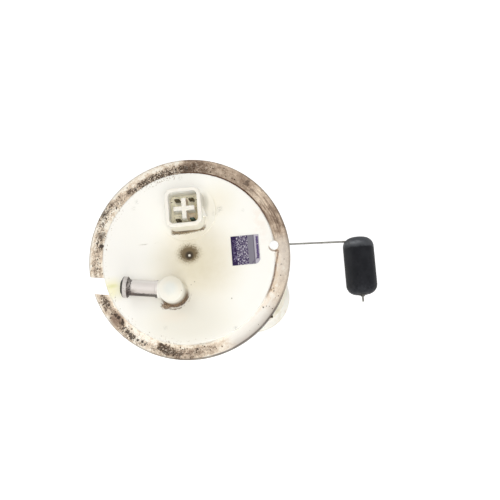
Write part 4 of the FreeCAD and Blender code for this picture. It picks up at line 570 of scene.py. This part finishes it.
def elbow_grime(paint, patchy, fine):
    """A clean cap; a grey scuffed spout with a painted highlight on top, painted shade on its lower half,
    grime and painted shade along its lower edge and behind the collar, and a near-black nose of dirt and
    painted shade; mud at the foot, with dirt and painted shade on the wall under the cap.
    """
    turn = math.radians(SPOUT_TURN)
    ex = paint.less(paint.x, ELBOW[0])
    ey = paint.less(paint.y, ELBOW[1])
    along = paint.add(paint.times(ex, math.cos(turn)), paint.times(ey, math.sin(turn)))
    across = paint.add(paint.times(ex, -math.sin(turn)), paint.times(ey, math.cos(turn)))
    high = paint.step(paint.z, PLATEAU_Z + 1.5, PLATEAU_Z + 2.5)
    spout = paint.times(paint.step(along, SPOUT_NECK - 1.4, SPOUT_NECK - 0.9), high,
                        paint.step(paint.calc("ABSOLUTE", across), COLLAR_R + 0.2, COLLAR_R - 0.2),
                        paint.step(along, COLLAR_END + 3.5, COLLAR_END + 2.5))
    worn = paint.noise(3.0, 3, 0.6, (3, 1, 1), 12)
    paint.stain(paint.mix(worn, (230, 222, 216), (216, 208, 202)), spout, 0.92)
    ragged = paint.sway(fine, 2.4)
    # across grows towards -Y, which is the lower side in the photograph
    # Painted highlight along the spout's upper side, and painted shade darkening its lower half
    spout_highlight = paint.times(spout, paint.bell(across, -3.4, 1.6))
    paint.stain((248, 244, 238), spout_highlight, 0.55)
    paint.stain((198, 188, 178), spout, paint.step(across, 0.8, 3.0), 0.6)
    # Grime and painted shade along the spout's lower edge
    lower_edge_grime_and_shade = paint.step(paint.add(across, paint.times(ragged, 0.7)), 3.2, 3.9)
    paint.stain((50, 40, 32), spout, lower_edge_grime_and_shade, paint.step(along, 9, 22, 0.9, 1.0))
    upper = paint.times(spout, paint.step(across, -4.3, -4.9), paint.step(along, 12, 19, 0.3, 0.95))
    paint.stain((84, 70, 58), upper)
    jagged = paint.add(along, ragged)
    patch = paint.times(spout, paint.step(paint.add(across, ragged), 0.2, 3.6),
                        paint.step(jagged, COLLAR_START - 6.5, COLLAR_START - 1.0))
    paint.stain((98, 82, 74), patch, 0.85)
    # Dirt and painted shade in the step where the collar meets the spout
    collar_step_dirt_and_shade = paint.times(spout, paint.band(jagged, COLLAR_START - 1.2, COLLAR_START + 0.4, 1.2))
    paint.stain((96, 80, 72), collar_step_dirt_and_shade, 0.55)
    blotches = paint.times(spout, paint.band(jagged, COLLAR_START - 1.8, COLLAR_START + 0.6, 0.5),
                           paint.step(paint.noise(1.1, 3, 0.65, shift=8), 0.44, 0.54))
    paint.stain((40, 32, 26), blotches, 0.95)
    collar = paint.times(spout, paint.band(along, COLLAR_START + 0.7, COLLAR_END - 0.6, 0.3))
    paint.stain((214, 208, 202), collar, 0.9)
    paint.stain((140, 124, 110), collar, paint.step(fine, 0.52, 0.66), 0.5)
    # The nose past the collar is painted near black: dirt, and painted shade of its open end
    nose_dirt_and_shade = paint.times(spout, paint.step(along, COLLAR_END - 0.9, COLLAR_END - 0.5))
    paint.stain((34, 28, 24), nose_dirt_and_shade, 0.95)
    ring = paint.add(paint.hypot(ex, ey), paint.times(ragged, 0.7))
    toward = paint.times(paint.add(paint.times(ex, 0.17), paint.times(ey, -0.985)), 1 / CAP_R)
    foot = paint.times(paint.step(paint.z, 12, 7), paint.step(toward, 0.15, 0.75))
    first = paint.times(foot, paint.step(ring, CAP_R + 1.7, CAP_R + 1.0))
    paint.stain(paint.mix(paint.step(fine, 0.4, 0.6), (70, 50, 28), (132, 102, 68)), first, 0.92)
    second = paint.times(paint.bell(ring, CAP_R + 2.3, 0.7), paint.step(paint.z, 12, 7),
                         paint.step(toward, 0.35, 0.8), paint.step(patchy, 0.36, 0.50))
    paint.stain((104, 78, 48), second, 0.85)
    # Dirt and painted shade on the wall under the cap, on the side towards -Y
    wall_dirt_and_shade = paint.times(paint.step(ring, CAP_R + 1.2, CAP_R + 0.6), paint.step(paint.z, 17.5, 9),
                        paint.step(toward, -0.15, 0.55), paint.step(paint.z, 5, 6))
    streak = paint.noise(1.2, 3, 0.7, (1, 1, 3), 9)
    paint.stain(paint.mix(paint.step(streak, 0.42, 0.58), (84, 62, 38), (138, 110, 80)), wall_dirt_and_shade, 0.85)
    mud = paint.times(paint.step(paint.add(paint.distance(-15.0, -27.4, (1.5, 1.0)), ragged), 2.6, 1.2),
                      paint.step(paint.z, 6.4, 5.9))
    paint.stain(paint.mix(paint.step(fine, 0.42, 0.58), (94, 70, 42), (160, 132, 98)), mud, 0.9)
    cap = paint.times(paint.step(ring, 5.8, 1.5), paint.step(paint.z, CAP_DOME_Z - 1.0, CAP_DOME_Z))
    paint.stain((229, 231, 224), cap, 0.75)
    return nose_dirt_and_shade, spout


def flange_material():
    """Acetal moulding: clean cream plateau, a rim stained by mud and fuel, and dirt in every corner."""
    paint = Paint("flange_plastic", (254, 251, 242), 0.42)
    around = turn_field(paint)
    radius = paint.hypot(paint.x, paint.y)
    broad = paint.noise(22, 2)
    patchy = paint.noise(4.5, 4, 0.6)
    fine = paint.noise(0.9, 3, 0.65)
    grain = paint.noise(0.35, 2, 0.6)
    plateau_marks(paint, patchy, fine)
    rim, film, dots = rim_dirt(paint, around, radius)
    low, shroud = socket_dirt(paint, patchy, fine)
    nose_dirt_and_shade, spout = elbow_grime(paint, patchy, fine)

    # Rusty mud at the foot of the stud
    stud_foot = paint.times(paint.band(paint.distance(*STUD), STUD_R, STUD_R + 0.7, 0.5),
                            paint.step(paint.y, STUD[1] + 1.0, STUD[1] - 1.5),
                            paint.step(paint.x, STUD[0] + 2.4, STUD[0] + 1.0),
                            paint.step(paint.z, 6.4, 5.4))
    paint.stain((130, 104, 82), stud_foot, 0.8)
    paint.stain((255, 255, 252), paint.spot(*STUD, STUD_R, STUD_R + 0.5), paint.step(paint.z, 6.2, 7.0))

    # Under the plate the moulding is cleaner, with a faint fuel tint
    under_plate = paint.times(paint.step(radius, PLATEAU_R - 0.7, PLATEAU_R - 1.1),
                              paint.step(paint.z, PLATEAU_Z - 0.6, PLATEAU_Z - 1.1))
    below_seat = paint.most(paint.step(paint.z, 0.4, -0.4), under_plate)
    paint.stain(paint.mix(paint.step(broad, 0.35, 0.65), (236, 230, 210), (226, 216, 188)), below_seat)
    tide = paint.times(below_seat, paint.step(paint.add(paint.z, paint.times(patchy, 10)), -38, -50))
    paint.stain((214, 198, 158), tide, 0.5)

    paint.worn(paint.times(rim, paint.step(film, 0.1, 0.6)), 0.75)
    paint.worn(paint.most(low, nose_dirt_and_shade), 0.85)
    paint.raise_by(grain, 0.015)
    paint.raise_by(dots, 0.22)
    paint.raise_by(paint.times(rim, paint.step(film, 0.2, 0.8), fine), 0.18)
    clean = paint.times(paint.step(paint.brightness(), 0.35, 0.85), paint.invert(rim), paint.invert(spout))
    glow = paint.times(clean, paint.add(0.25, paint.times(shroud, 0.35)))
    return paint.done(Subsurface_Weight=glow, Subsurface_Radius=(1.0, 0.95, 0.9), Subsurface_Scale=0.0025)


def label_material():
    """A faded film label: plain fields of colour with no print that can be read."""
    paint = Paint("label", (130, 126, 136), 0.5)
    u = paint.less(paint.x, LABEL[0] - LABEL_HALF)
    v = paint.less(paint.y, LABEL[1])
    fine = paint.noise(0.5, 2, 0.6, shift=3)
    flecks = paint.noise(0.75, 2, 0.6, shift=11)
    mottled = paint.band(u, 3.2, 9.8, 0.2)
    paint.stain((118, 108, 128), mottled)
    paint.stain((52, 36, 76), mottled, paint.step(flecks, 0.43, 0.49), 0.95)
    bright = paint.step(paint.noise(0.66, 2, stretch=(1, 1.6, 1), shift=21), 0.56, 0.60)
    paint.stain((216, 212, 220), mottled, bright, 0.90)
    violet = paint.step(u, 3.3, 3.0)
    paint.stain((34, 12, 60), violet)
    paint.stain((138, 128, 158), violet, paint.step(flecks, 0.53, 0.60), paint.band(v, -6.2, 6.2, 0.3),
                paint.step(u, 0.7, 1.1), 0.8)
    thin = paint.bell(u, 13.4, 0.4)
    paint.stain((92, 86, 98), thin, 0.85)
    pale = paint.step(u, 13.6, 13.9)
    paint.stain((186, 180, 190), pale)
    blocks = paint.times(paint.band(paint.add(u, paint.sway(fine, 1.6)), 14.8, 16.0, 0.15),
                         paint.band(v, -5.6, 7.4, 0.3),
                         paint.step(paint.noise(1.3, 2, shift=31), 0.30, 0.36))
    paint.stain((70, 46, 104), blocks, 0.9)
    tear = paint.add(paint.less(u, v), paint.sway(fine, 3.0))
    paint.stain((96, 84, 108), paint.bell(tear, 20.0, 0.8), 0.8)
    paint.raise_by(fine, 0.01)
    return paint.done(Specular_IOR_Level=0.2)


def moulded(name, base, tint, tide_z=None):
    """Natural white moulding that fuel has tinted: blotches, fine grain and a tide line."""
    tide = (206, 186, 140)
    paint = Paint(name, base, 0.45)
    broad = paint.noise(30, 2, stretch=(1, 1, 2))
    patchy = paint.noise(6, 4, 0.6, stretch=(1, 1, 1.6))
    grain = paint.noise(0.4, 2, 0.6)
    paint.stain(tint, paint.step(broad, 0.35, 0.68, 0.0, 0.85))
    drip = paint.noise(7, 3, 0.5, stretch=(1, 1, 7), shift=5)
    paint.stain(tide, paint.step(drip, 0.52, 0.70, 0.0, 0.30))
    if tide_z is not None:
        level = paint.add(paint.z, paint.times(paint.noise(16, 2, shift=9), 9.0))
        paint.stain(tide, paint.step(level, tide_z + 6, tide_z - 14, 0.0, 0.45))
        line = paint.times(paint.bell(level, tide_z + 3, 2.4), paint.step(patchy, 0.35, 0.6, 0.2, 1.0))
        paint.stain((172, 146, 98), line, 0.28)
    paint.stain((120, 102, 76), paint.specks(0.8, 0.015, 14), 0.45)
    paint.raise_by(grain, 0.012)
    paint.raise_by(paint.noise(2.5, 2), 0.01)
    return paint.done(Subsurface_Weight=0.05, Subsurface_Scale=0.002)


def foam_material():
    """Closed-cell nitrile foam: near black, with a skin of fine pores, and painted highlights on the +Y
    sides, the far end and the -X side.
    """
    paint = Paint("foam", (26, 27, 31), 0.72)
    pores = paint.cells(0.55)
    soft = paint.noise(7, 3)
    paint.stain((40, 41, 45), paint.step(soft, 0.38, 0.66, 0.0, 0.55))
    paint.stain((18, 18, 20), paint.step(pores, 0.30, 0.10, 0.0, 0.5))
    # Painted highlight on the sides that face +Y
    y_side_highlight = paint.times(paint.step(paint.facing("Y"), 0.10, 0.70),
                         paint.step(paint.noise(1.6, 3), 0.38, 0.62, 0.6, 1.0))
    paint.stain((74, 76, 79), y_side_highlight, 0.85)
    far_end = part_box("float")[1][1] / MM
    # Painted highlight: the float's far end paler, with a pale arc across it
    end = paint.add(paint.y, paint.sway(paint.noise(4.0, 2, shift=2), 2.0))
    paint.stain((84, 86, 90), paint.step(end, far_end - 8.2, far_end - 6.2), 0.8)
    end_highlight_arc = paint.times(paint.bell(end, far_end - 4.6, 2.0), paint.step(paint.x, 104, 96),
                      paint.step(paint.noise(3.0, 3, shift=2), 0.36, 0.56, 0.4, 1.0))
    paint.stain((132, 135, 139), end_highlight_arc, 0.8)
    # Painted highlight: the float's -X side a little paler
    paint.stain((62, 63, 66), paint.step(paint.x, 96, 90, 0.0, 0.35))
    dusty = paint.times(paint.step(paint.y, -3, -12), paint.step(paint.noise(2.5, 3, shift=6), 0.35, 0.7))
    paint.stain((60, 61, 65), dusty, 0.45)
    paint.raise_by(pores, 0.10)
    paint.raise_by(paint.noise(1.1, 3), 0.06)
    return paint.done(Specular_IOR_Level=0.12, Sheen_Weight=0.12, Sheen_Roughness=0.4)


def metal(name, color, rough, brushed, tarnish=None):
    """Bright metal with fine lines drawn out along one axis, and tarnish in clouds."""
    paint = Paint(name, color, rough)
    lines = paint.noise(0.5, 2, 0.6, stretch=brushed)
    cloud = paint.noise(6, 3, 0.6, shift=3)
    dark = [value * 0.72 for value in color]
    paint.stain(dark, paint.step(lines, 0.35, 0.7, 0.0, 0.35))
    if tarnish is not None:
        paint.stain(tarnish, paint.step(cloud, 0.47, 0.72, 0.0, 0.85))
    paint.worn(paint.step(cloud, 0.4, 0.7), min(rough + 0.2, 0.9))
    paint.raise_by(lines, 0.008)
    return paint.done(Metallic=1.0)


def spring_material():
    """Bright spring steel, gone dark on the washer that sits out on the float."""
    paint = Paint("spring_steel", (178, 176, 172), 0.3)
    lines = paint.noise(0.5, 2, 0.6, (1, 1, 4))
    paint.stain((128, 127, 124), paint.step(lines, 0.35, 0.7, 0.0, 0.35))
    paint.stain((74, 73, 71), paint.step(paint.x, 60, 62))
    paint.raise_by(lines, 0.008)
    return paint.done(Metallic=1.0)


def terminal_material():
    """Tinned blades gone dark brown, with green-blue corrosion on the one in the wet corner."""
    paint = Paint("terminal_metal", (84, 74, 50), 0.6)
    cloud = paint.noise(1.6, 3, 0.6)
    paint.stain((52, 44, 30), paint.step(cloud, 0.42, 0.64, 0.0, 0.8))
    wet = paint.times(paint.step(paint.x, SOCKET[0], SOCKET[0] + 2),
                      paint.step(paint.y, SOCKET[1], SOCKET[1] - 2))
    paint.stain((52, 84, 80), wet, paint.step(cloud, 0.30, 0.55, 0.5, 1.0))
    paint.stain((148, 138, 104), paint.step(paint.noise(0.6, 2, shift=5), 0.58, 0.68), 0.6)
    paint.raise_by(cloud, 0.10)
    return paint.done(Metallic=0.45)


def rubber_material():
    """Black rubber with dust on it."""
    paint = Paint("seal_rubber", (24, 24, 25), 0.6)
    paint.stain((92, 88, 80), paint.step(paint.noise(3, 3), 0.50, 0.75, 0.0, 0.45))
    paint.raise_by(paint.noise(0.5, 2), 0.015)
    return paint.done()


def dark_moulding(name, color, rough=0.5):
    """Dark moulded or pressed stuff, a little paler in clouds."""
    paint = Paint(name, color, rough)
    pale = [min(value + 34, 255) for value in color]
    paint.stain(pale, paint.step(paint.noise(9, 3), 0.42, 0.72, 0.0, 0.5))
    paint.raise_by(paint.noise(0.4, 2), 0.012)
    return paint.done()


def carbon_material():
    paint = Paint("carbon", (34, 34, 36), 0.55)
    paint.stain((82, 82, 86), paint.step(paint.noise(0.3, 2), 0.5, 0.75, 0.0, 0.5))
    return paint.done(Metallic=0.3)


def lamination_material():
    """Thin steel sheets stacked along the shaft."""
    paint = Paint("lamination", (128, 127, 126), 0.45)
    sheets = paint.calc("PINGPONG", paint.z, 0.25)
    paint.stain((52, 50, 50), paint.step(sheets, 0.10, 0.02))
    paint.stain((120, 88, 62), paint.step(paint.noise(3, 3), 0.55, 0.75, 0.0, 0.5))
    paint.raise_by(paint.step(sheets, 0.02, 0.10), 0.05)
    return paint.done(Metallic=0.9)


def copper_material():
    """Enamelled wire laid side by side under varnish."""
    paint = Paint("copper", (168, 92, 52), 0.3)
    skew = paint.add(paint.times(paint.x, 0.8), paint.times(paint.y, 0.6),
                     paint.times(paint.noise(4, 2), 3.0))
    strands = paint.calc("PINGPONG", skew, 0.3)
    paint.stain((84, 38, 22), paint.step(strands, 0.12, 0.0, 0.0, 0.85))
    paint.raise_by(paint.step(strands, 0.0, 0.25), 0.12)
    return paint.done(Metallic=0.85)


def paper_material():
    """Pleated filter paper, browner towards the bottom."""
    paint = Paint("filter_paper", (214, 192, 128), 0.9)
    paint.stain((188, 160, 92), paint.step(paint.noise(0.5, 3, stretch=(1, 1, 3)), 0.45, 0.7, 0.0, 0.5))
    low = paint.step(paint.add(paint.z, paint.times(paint.noise(8, 3), 24)), -60, -110)
    paint.stain((148, 118, 66), low, 0.7)
    paint.raise_by(paint.step(paint.calc("PINGPONG", paint.z, 2.0), 1.6, 1.9), 0.1)
    return paint.done()


def mesh_material():
    """Woven filter cloth: a fine square weave, greyed along its welded edge."""
    paint = Paint("mesh", (226, 224, 212), 0.8)
    warp = paint.calc("PINGPONG", paint.x, 0.30)
    weft = paint.calc("PINGPONG", paint.y, 0.30)
    gaps = paint.times(paint.step(warp, 0.12, 0.22), paint.step(weft, 0.12, 0.22))
    paint.stain((120, 112, 90), gaps, 0.75)
    paint.stain((196, 178, 128), paint.step(paint.noise(10, 3), 0.45, 0.7, 0.0, 0.5))
    paint.raise_by(paint.most(paint.step(warp, 0.2, 0.0), paint.step(weft, 0.2, 0.0)), 0.12)
    return paint.done()


def resistor_material():
    """A ceramic card with printed tracks on arcs about the pivot."""
    paint = Paint("resistor_ceramic", (120, 146, 160), 0.4)
    dx = paint.less(paint.x, SENDER_PIVOT[0])
    dz = paint.less(paint.z, SENDER_PIVOT[1])
    radius = paint.hypot(dx, dz)
    angle = paint.calc("ARCTAN2", dz, dx)
    sector = paint.times(paint.step(angle, -0.62, -0.60), paint.step(angle, 0.62, 0.60))
    bars = paint.step(paint.calc("PINGPONG", paint.times(angle, 19.0), 0.5), 0.28, 0.22)
    inner = paint.times(paint.band(radius, 17.2, 20.6, 0.08), bars, sector)
    outer = paint.times(paint.band(radius, 21.6, 23.2, 0.08), sector)
    paint.stain((196, 190, 176), inner, 0.95)
    paint.stain((48, 46, 50), outer, 0.9)
    paint.stain((60, 58, 60), paint.band(radius, 18.9, 19.1, 0.06), sector, 0.8)
    paint.raise_by(paint.most(inner, outer), 0.03)
    return paint.done()


def paint_nodes():
    """One material for each slot of the record, put on every node that names it."""
    made = {
        "flange_plastic": flange_material(),
        "case_plastic": moulded("case_plastic", (255, 254, 248), (250, 247, 234), tide_z=-70),
        "reservoir_plastic": moulded("reservoir_plastic", (255, 253, 245), (250, 246, 231), tide_z=-140),
        "sender_plastic": moulded("sender_plastic", (228, 224, 206), (212, 202, 172)),
        "label": label_material(),
        "terminal_metal": terminal_material(),
        "seal_rubber": rubber_material(),
        "foam": foam_material(),
        "wire_steel": metal("wire_steel", (140, 139, 134), 0.42, (8, 8, 1), (112, 106, 96)),
        "spring_steel": spring_material(),
        "shell_steel": metal("shell_steel", (190, 188, 182), 0.35, (1, 1, 8), (152, 140, 112)),
        "filter_paper": paper_material(),
        "pipe_plastic": dark_moulding("pipe_plastic", (34, 34, 36)),
        "pump_plastic": dark_moulding("pump_plastic", (44, 42, 42)),
        "carbon": carbon_material(),
        "bronze": metal("bronze", (170, 128, 76), 0.5, (1, 1, 1), (120, 90, 56)),
        "ferrite": dark_moulding("ferrite", (50, 48, 48), 0.7),
        "lamination": lamination_material(),
        "copper": copper_material(),
        "impeller_resin": dark_moulding("impeller_resin", (92, 62, 38), 0.4),
        "pump_aluminium": metal("pump_aluminium", (196, 196, 196), 0.42, (2, 2, 1)),
        "mesh": mesh_material(),
        "resistor_ceramic": resistor_material(),
        "contact_metal": metal("contact_metal", (204, 178, 122), 0.3, (1, 1, 3), (150, 116, 70)),
    }
    for entry in frame["record"]["subparts"]:
        node = frame["nodes"][entry["node"]]
        node.data.materials.clear()
        node.data.materials.append(made[entry["material_slot"]])
    return made


def interpolate(points, degrees):
    """The amount a (degrees, amount) list gives at an angle, straight between its entries."""
    degrees %= 360
    ordered = sorted(points)
    ordered = [(ordered[-1][0] - 360, ordered[-1][1])] + ordered + [(ordered[0][0] + 360, ordered[0][1])]
    for (low, first), (high, second) in zip(ordered, ordered[1:]):
        if degrees <= high:
            return first + (second - first) * (degrees - low) / (high - low)


def in_notch(x, y):
    """Whether a place in plan is over the slot in the rim."""
    turn = math.radians(SPOUT_TURN)
    across = -(x - NOTCH[0]) * math.sin(turn) + (y - NOTCH[1]) * math.cos(turn)
    return x < 0 and abs(across) < NOTCH_HALF


def mud_material():
    """Dried mud: dark brown crumbs with paler dusty ones among them."""
    paint = Paint("mud", (92, 72, 52), 0.95)
    paint.stain((56, 42, 30), paint.step(paint.noise(0.8, 3), 0.35, 0.65))
    paint.stain((142, 118, 88), paint.step(paint.noise(2.5, 2, shift=4), 0.55, 0.7, 0, 0.8))
    paint.raise_by(paint.noise(0.2, 2), 0.05)
    return paint.done()


# What the grit's tree is given: name, kind, value
GRIT_INPUTS = (
    ("Most per square metre", "NodeSocketFloat", 2.4e6), ("Grain width", "NodeSocketFloat", 0.62 * MM),
    ("Flattening", "NodeSocketFloat", 0.45), ("Seed", "NodeSocketInt", 11),
)


def add_object(name, data):
    """An object of a mesh, a lamp or a camera, put in the scene."""
    made = bpy.data.objects.new(name, data)
    bpy.context.collection.objects.link(made)
    return made


def to_mesh(name, shape, material=None):
    """A mesh from a bmesh, which is freed."""
    mesh = bpy.data.meshes.new(name)
    shape.to_mesh(mesh)
    shape.free()
    if material is not None:
        mesh.materials.append(material)
    return mesh


def crust_ground():
    """The rim's top as a ring of small faces that say how thickly grit lies on each. The notch and the stud
    stay clear."""
    steps, lanes = 180, 6
    inner, outer = PLATEAU_R + 0.4, RIM_R - 0.9
    stud_clear = STUD_R + 1.2
    ring = bmesh.new()
    amount = ring.faces.layers.float.new("crust")

    def place(step, lane):
        turn = math.tau * step / steps
        radius = inner + (outer - inner) * lane / lanes
        return (radius * math.cos(turn) * MM, radius * math.sin(turn) * MM, RIM_Z * MM)

    rows = [[ring.verts.new(place(step, lane)) for lane in range(lanes + 1)] for step in range(steps)]
    for step in range(steps):
        first, second = rows[step], rows[(step + 1) % steps]
        degrees = 360 * (step + 0.5) / steps
        for lane in range(lanes):
            face = ring.faces.new((first[lane], first[lane + 1], second[lane + 1], second[lane]))
            middle = face.calc_center_median() / MM
            out = (lane + 0.5) / lanes
            near = max(0.0, 1 - abs(out - interpolate(RIM_LEAN, degrees)) / 0.55)
            bare = in_notch(middle.x, middle.y) or math.dist((middle.x, middle.y), STUD) < stud_clear
            face[amount] = 0.0 if bare else interpolate(RIM_CRUST, degrees) ** 1.6 * near
    return to_mesh("crust_ground", ring)


def scatter_tree(material):
    """Grains scattered on a surface by its crust attribute, each turned and sized at random."""
    tree = bpy.data.node_groups.new("scatter grit", "GeometryNodeTree")
    tree.interface.new_socket("Geometry", in_out="INPUT", socket_type="NodeSocketGeometry")
    tree.interface.new_socket("Geometry", in_out="OUTPUT", socket_type="NodeSocketGeometry")
    sizes = {}
    for label, kind, value in GRIT_INPUTS:
        socket = tree.interface.new_socket(label, in_out="INPUT", socket_type=kind)
        socket.default_value = value
        sizes[label] = socket.identifier

    def node(kind, feeds=(), **settings):
        made = tree.nodes.new(kind)
        for key, value in settings.items():
            setattr(made, key, value)
        for key, value in dict(feeds).items():
            if isinstance(value, bpy.types.NodeSocket):
                tree.links.new(value, made.inputs[key])
            else:
                made.inputs[key].default_value = value
        return made.outputs

    given = node("NodeGroupInput")
    crust = node("GeometryNodeInputNamedAttribute", {"Name": "crust"}, data_type="FLOAT")["Attribute"]
    density = node("ShaderNodeMath", {0: crust, 1: given["Most per square metre"]}, operation="MULTIPLY")[0]
    points = node("GeometryNodeDistributePointsOnFaces",
                  {"Mesh": given["Geometry"], "Density": density, "Seed": given["Seed"]})["Points"]
    ball = node("GeometryNodeMeshIcoSphere", {"Subdivisions": 1, "Radius": 0.5})["Mesh"]
    squash = node("ShaderNodeCombineXYZ", {"X": 1.0, "Y": 0.8, "Z": given["Flattening"]})[0]
    grain = node("GeometryNodeTransform", {"Geometry": ball, "Scale": squash})["Geometry"]
    draw = node("FunctionNodeRandomValue", {"Seed": given["Seed"]}, data_type="FLOAT")["Value"]
    rare = node("ShaderNodeMath", {0: draw, 1: 3.5}, operation="POWER")[0]
    spread = node("ShaderNodeMapRange", {"To Min": 0.5, "To Max": 2.1, "Value": rare})["Result"]
    width = node("ShaderNodeMath", {0: spread, 1: given["Grain width"]}, operation="MULTIPLY")[0]
    turn = node("FunctionNodeRandomValue", {"Max": (0.5, 0.5, math.tau)}, data_type="FLOAT_VECTOR")["Value"]
    laid = node("GeometryNodeInstanceOnPoints",
                {"Points": points, "Instance": grain, "Rotation": turn, "Scale": width})["Instances"]
    solid = node("GeometryNodeRealizeInstances", {"Geometry": laid})["Geometry"]
    rough = node("ShaderNodeTexNoise", {"Scale": 2600})["Color"]
    centred = node("ShaderNodeVectorMath", {0: rough, 1: (0.5, 0.5, 0.5)}, operation="SUBTRACT")[0]
    push = node("ShaderNodeVectorMath", {0: centred, "Scale": 0.6 * MM}, operation="SCALE")[0]
    shaken = node("GeometryNodeSetPosition", {"Geometry": solid, "Offset": push})["Geometry"]
    coated = node("GeometryNodeSetMaterial", {"Geometry": shaken, "Material": material})["Geometry"]
    node("NodeGroupOutput", {0: coated})
    return tree, sizes


def rim_grit(material):
    """Crumbs of mud stuck on the rim, thickest where the crust is."""
    ground = add_object("crust_ground", crust_ground())
    modifier = ground.modifiers.new("scatter", "NODES")
    modifier.node_group, sizes = scatter_tree(material)
    for label, _, value in GRIT_INPUTS:
        modifier[sizes[label]] = value
    evaluated = ground.evaluated_get(bpy.context.evaluated_depsgraph_get())
    mesh = bpy.data.meshes.new_from_object(evaluated)
    bpy.data.objects.remove(ground)
    mesh.name = "rim_grit"
    if not mesh.materials:
        mesh.materials.append(material)
    grit = add_object("rim_grit", mesh)
    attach(grit, "module")


def valve_spring(material):
    """The check valve's spring again, merged into one smooth coil."""
    name = "check_valve_spring"
    solid = frame["nodes"][name]
    coil = bmesh.new()
    coil.from_mesh(solid.data)
    bmesh.ops.remove_doubles(coil, verts=coil.verts, dist=0.001 * MM)
    for face in coil.faces:
        face.smooth = True
    piece = add_object("coil_spring", to_mesh("coil_spring", coil, material))
    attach(piece, "module")
    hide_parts(name)
    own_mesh(piece)


def mud_lump(name, place, size, material, seed):
    """A lump of mud: a subdivided ball, roughened and flattened."""
    lump = bmesh.new()
    bmesh.ops.create_icosphere(lump, subdivisions=3, radius=1.0)
    draw = random.Random(seed)
    phases = [draw.uniform(0, math.tau) for _ in range(6)]
    for vertex in lump.verts:
        direction = vertex.co.normalized()
        swell = 1.0
        for index, phase in enumerate(phases):
            swell += 0.10 * math.sin((index + 2) * 2.1 * direction[index % 3] + phase)
        reach = Vector(axis * span for axis, span in zip(direction, size))
        vertex.co = (Vector(place) + reach * swell) * MM
    for face in lump.faces:
        face.smooth = True
    piece = add_object(name, to_mesh(name, lump, material))
    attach(piece, "module")


def seen_strength(nodes, links, unseen, seen):
    """One strength for what lights the object, and another for what the camera, a shine or a clear body
    sees."""
    rays = nodes.new("ShaderNodeLightPath").outputs
    either = rays["Is Camera Ray"]
    for kind in ("Is Glossy Ray", "Is Transmission Ray"):
        both = nodes.new("ShaderNodeMath")
        both.operation = "MAXIMUM"
        links.new(either, both.inputs[0])
        links.new(rays[kind], both.inputs[1])
        either = both.outputs[0]
    strength = nodes.new("ShaderNodeMapRange")
    links.new(either, strength.inputs["Value"])
    strength.inputs["To Min"].default_value = unseen
    strength.inputs["To Max"].default_value = seen
    return strength.outputs["Result"]


def lay_floor():
    """A white floor under the feet, reaching some metres every way."""
    reach = 4.0
    plane = bmesh.new()
    corners = [(-reach, -reach), (reach, -reach), (reach, reach), (-reach, reach)]
    plane.faces.new([plane.verts.new((x, y, FLOOR_Z * MM)) for x, y in corners])
    material = bpy.data.materials.new("floor")
    material.use_nodes = True
    nodes, links = material.node_tree.nodes, material.node_tree.links
    shader = nodes["Principled BSDF"].inputs
    shader["Base Color"].default_value = (0.9, 0.9, 0.9, 1)
    shader["Roughness"].default_value = 0.9
    shader["Specular IOR Level"].default_value = 0.1
    shader["Emission Color"].default_value = (1, 1, 1, 1)
    links.new(seen_strength(nodes, links, 0.0, 0.45), shader["Emission Strength"])
    floor = add_object("floor", to_mesh("floor", plane, material))


def surround():
    """A white surround that looks brighter than it lights."""
    world = bpy.data.worlds.new("studio")
    bpy.context.scene.world = world
    world.use_nodes = True
    nodes, links = world.node_tree.nodes, world.node_tree.links
    sky = nodes["Background"].inputs
    sky["Color"].default_value = (1, 1, 1, 1)
    links.new(seen_strength(nodes, links, 0.44, 1.0), sky["Strength"])


def lamp(name, place, aim, power, width):
    """A soft square lamp. Its place, aim and width are in metres."""
    light = bpy.data.lights.new(name, "AREA")
    light.energy = power
    light.size = width
    holder = add_object(name, light)
    holder.rotation_euler = (Vector(aim) - Vector(place)).to_track_quat("-Z", "Y").to_euler()
    holder.location = place


def camera():
    """The camera at the photograph's viewing angle."""
    lens = bpy.data.cameras.new("camera")
    lens.lens = CAMERA_LENS
    lens.sensor_width = 36.0
    lens.clip_start = 0.01
    holder = add_object("camera", lens)
    axes = Matrix((CAMERA_RIGHT, CAMERA_UP, CAMERA_BACK)).transposed()
    holder.matrix_world = Matrix.Translation(Vector(CAMERA_AT) * MM) @ axes.to_4x4()
    bpy.context.scene.camera = holder


bpy.context.scene.view_settings.view_transform = "Standard"
lay_floor()
surround()
lamp("key", (-0.6, 0.7, 1.2), (0, 0, -0.02), 3.9, 0.9)
lamp("front", (0.20, -0.34, 1.5), (0, 0, -0.02), 9.0, 0.9)
lamp("low", (0.25, -1.1, 0.45), (0, 0, -0.05), 4.8, 0.9)
camera()
finishes = paint_nodes()
valve_spring(finishes["spring_steel"])
mud = mud_material()
rim_grit(mud)
mud_lump("rim_crumb", (45.6, -38.8, 1.4), (1.1, 0.8, 0.7), mud, 5)
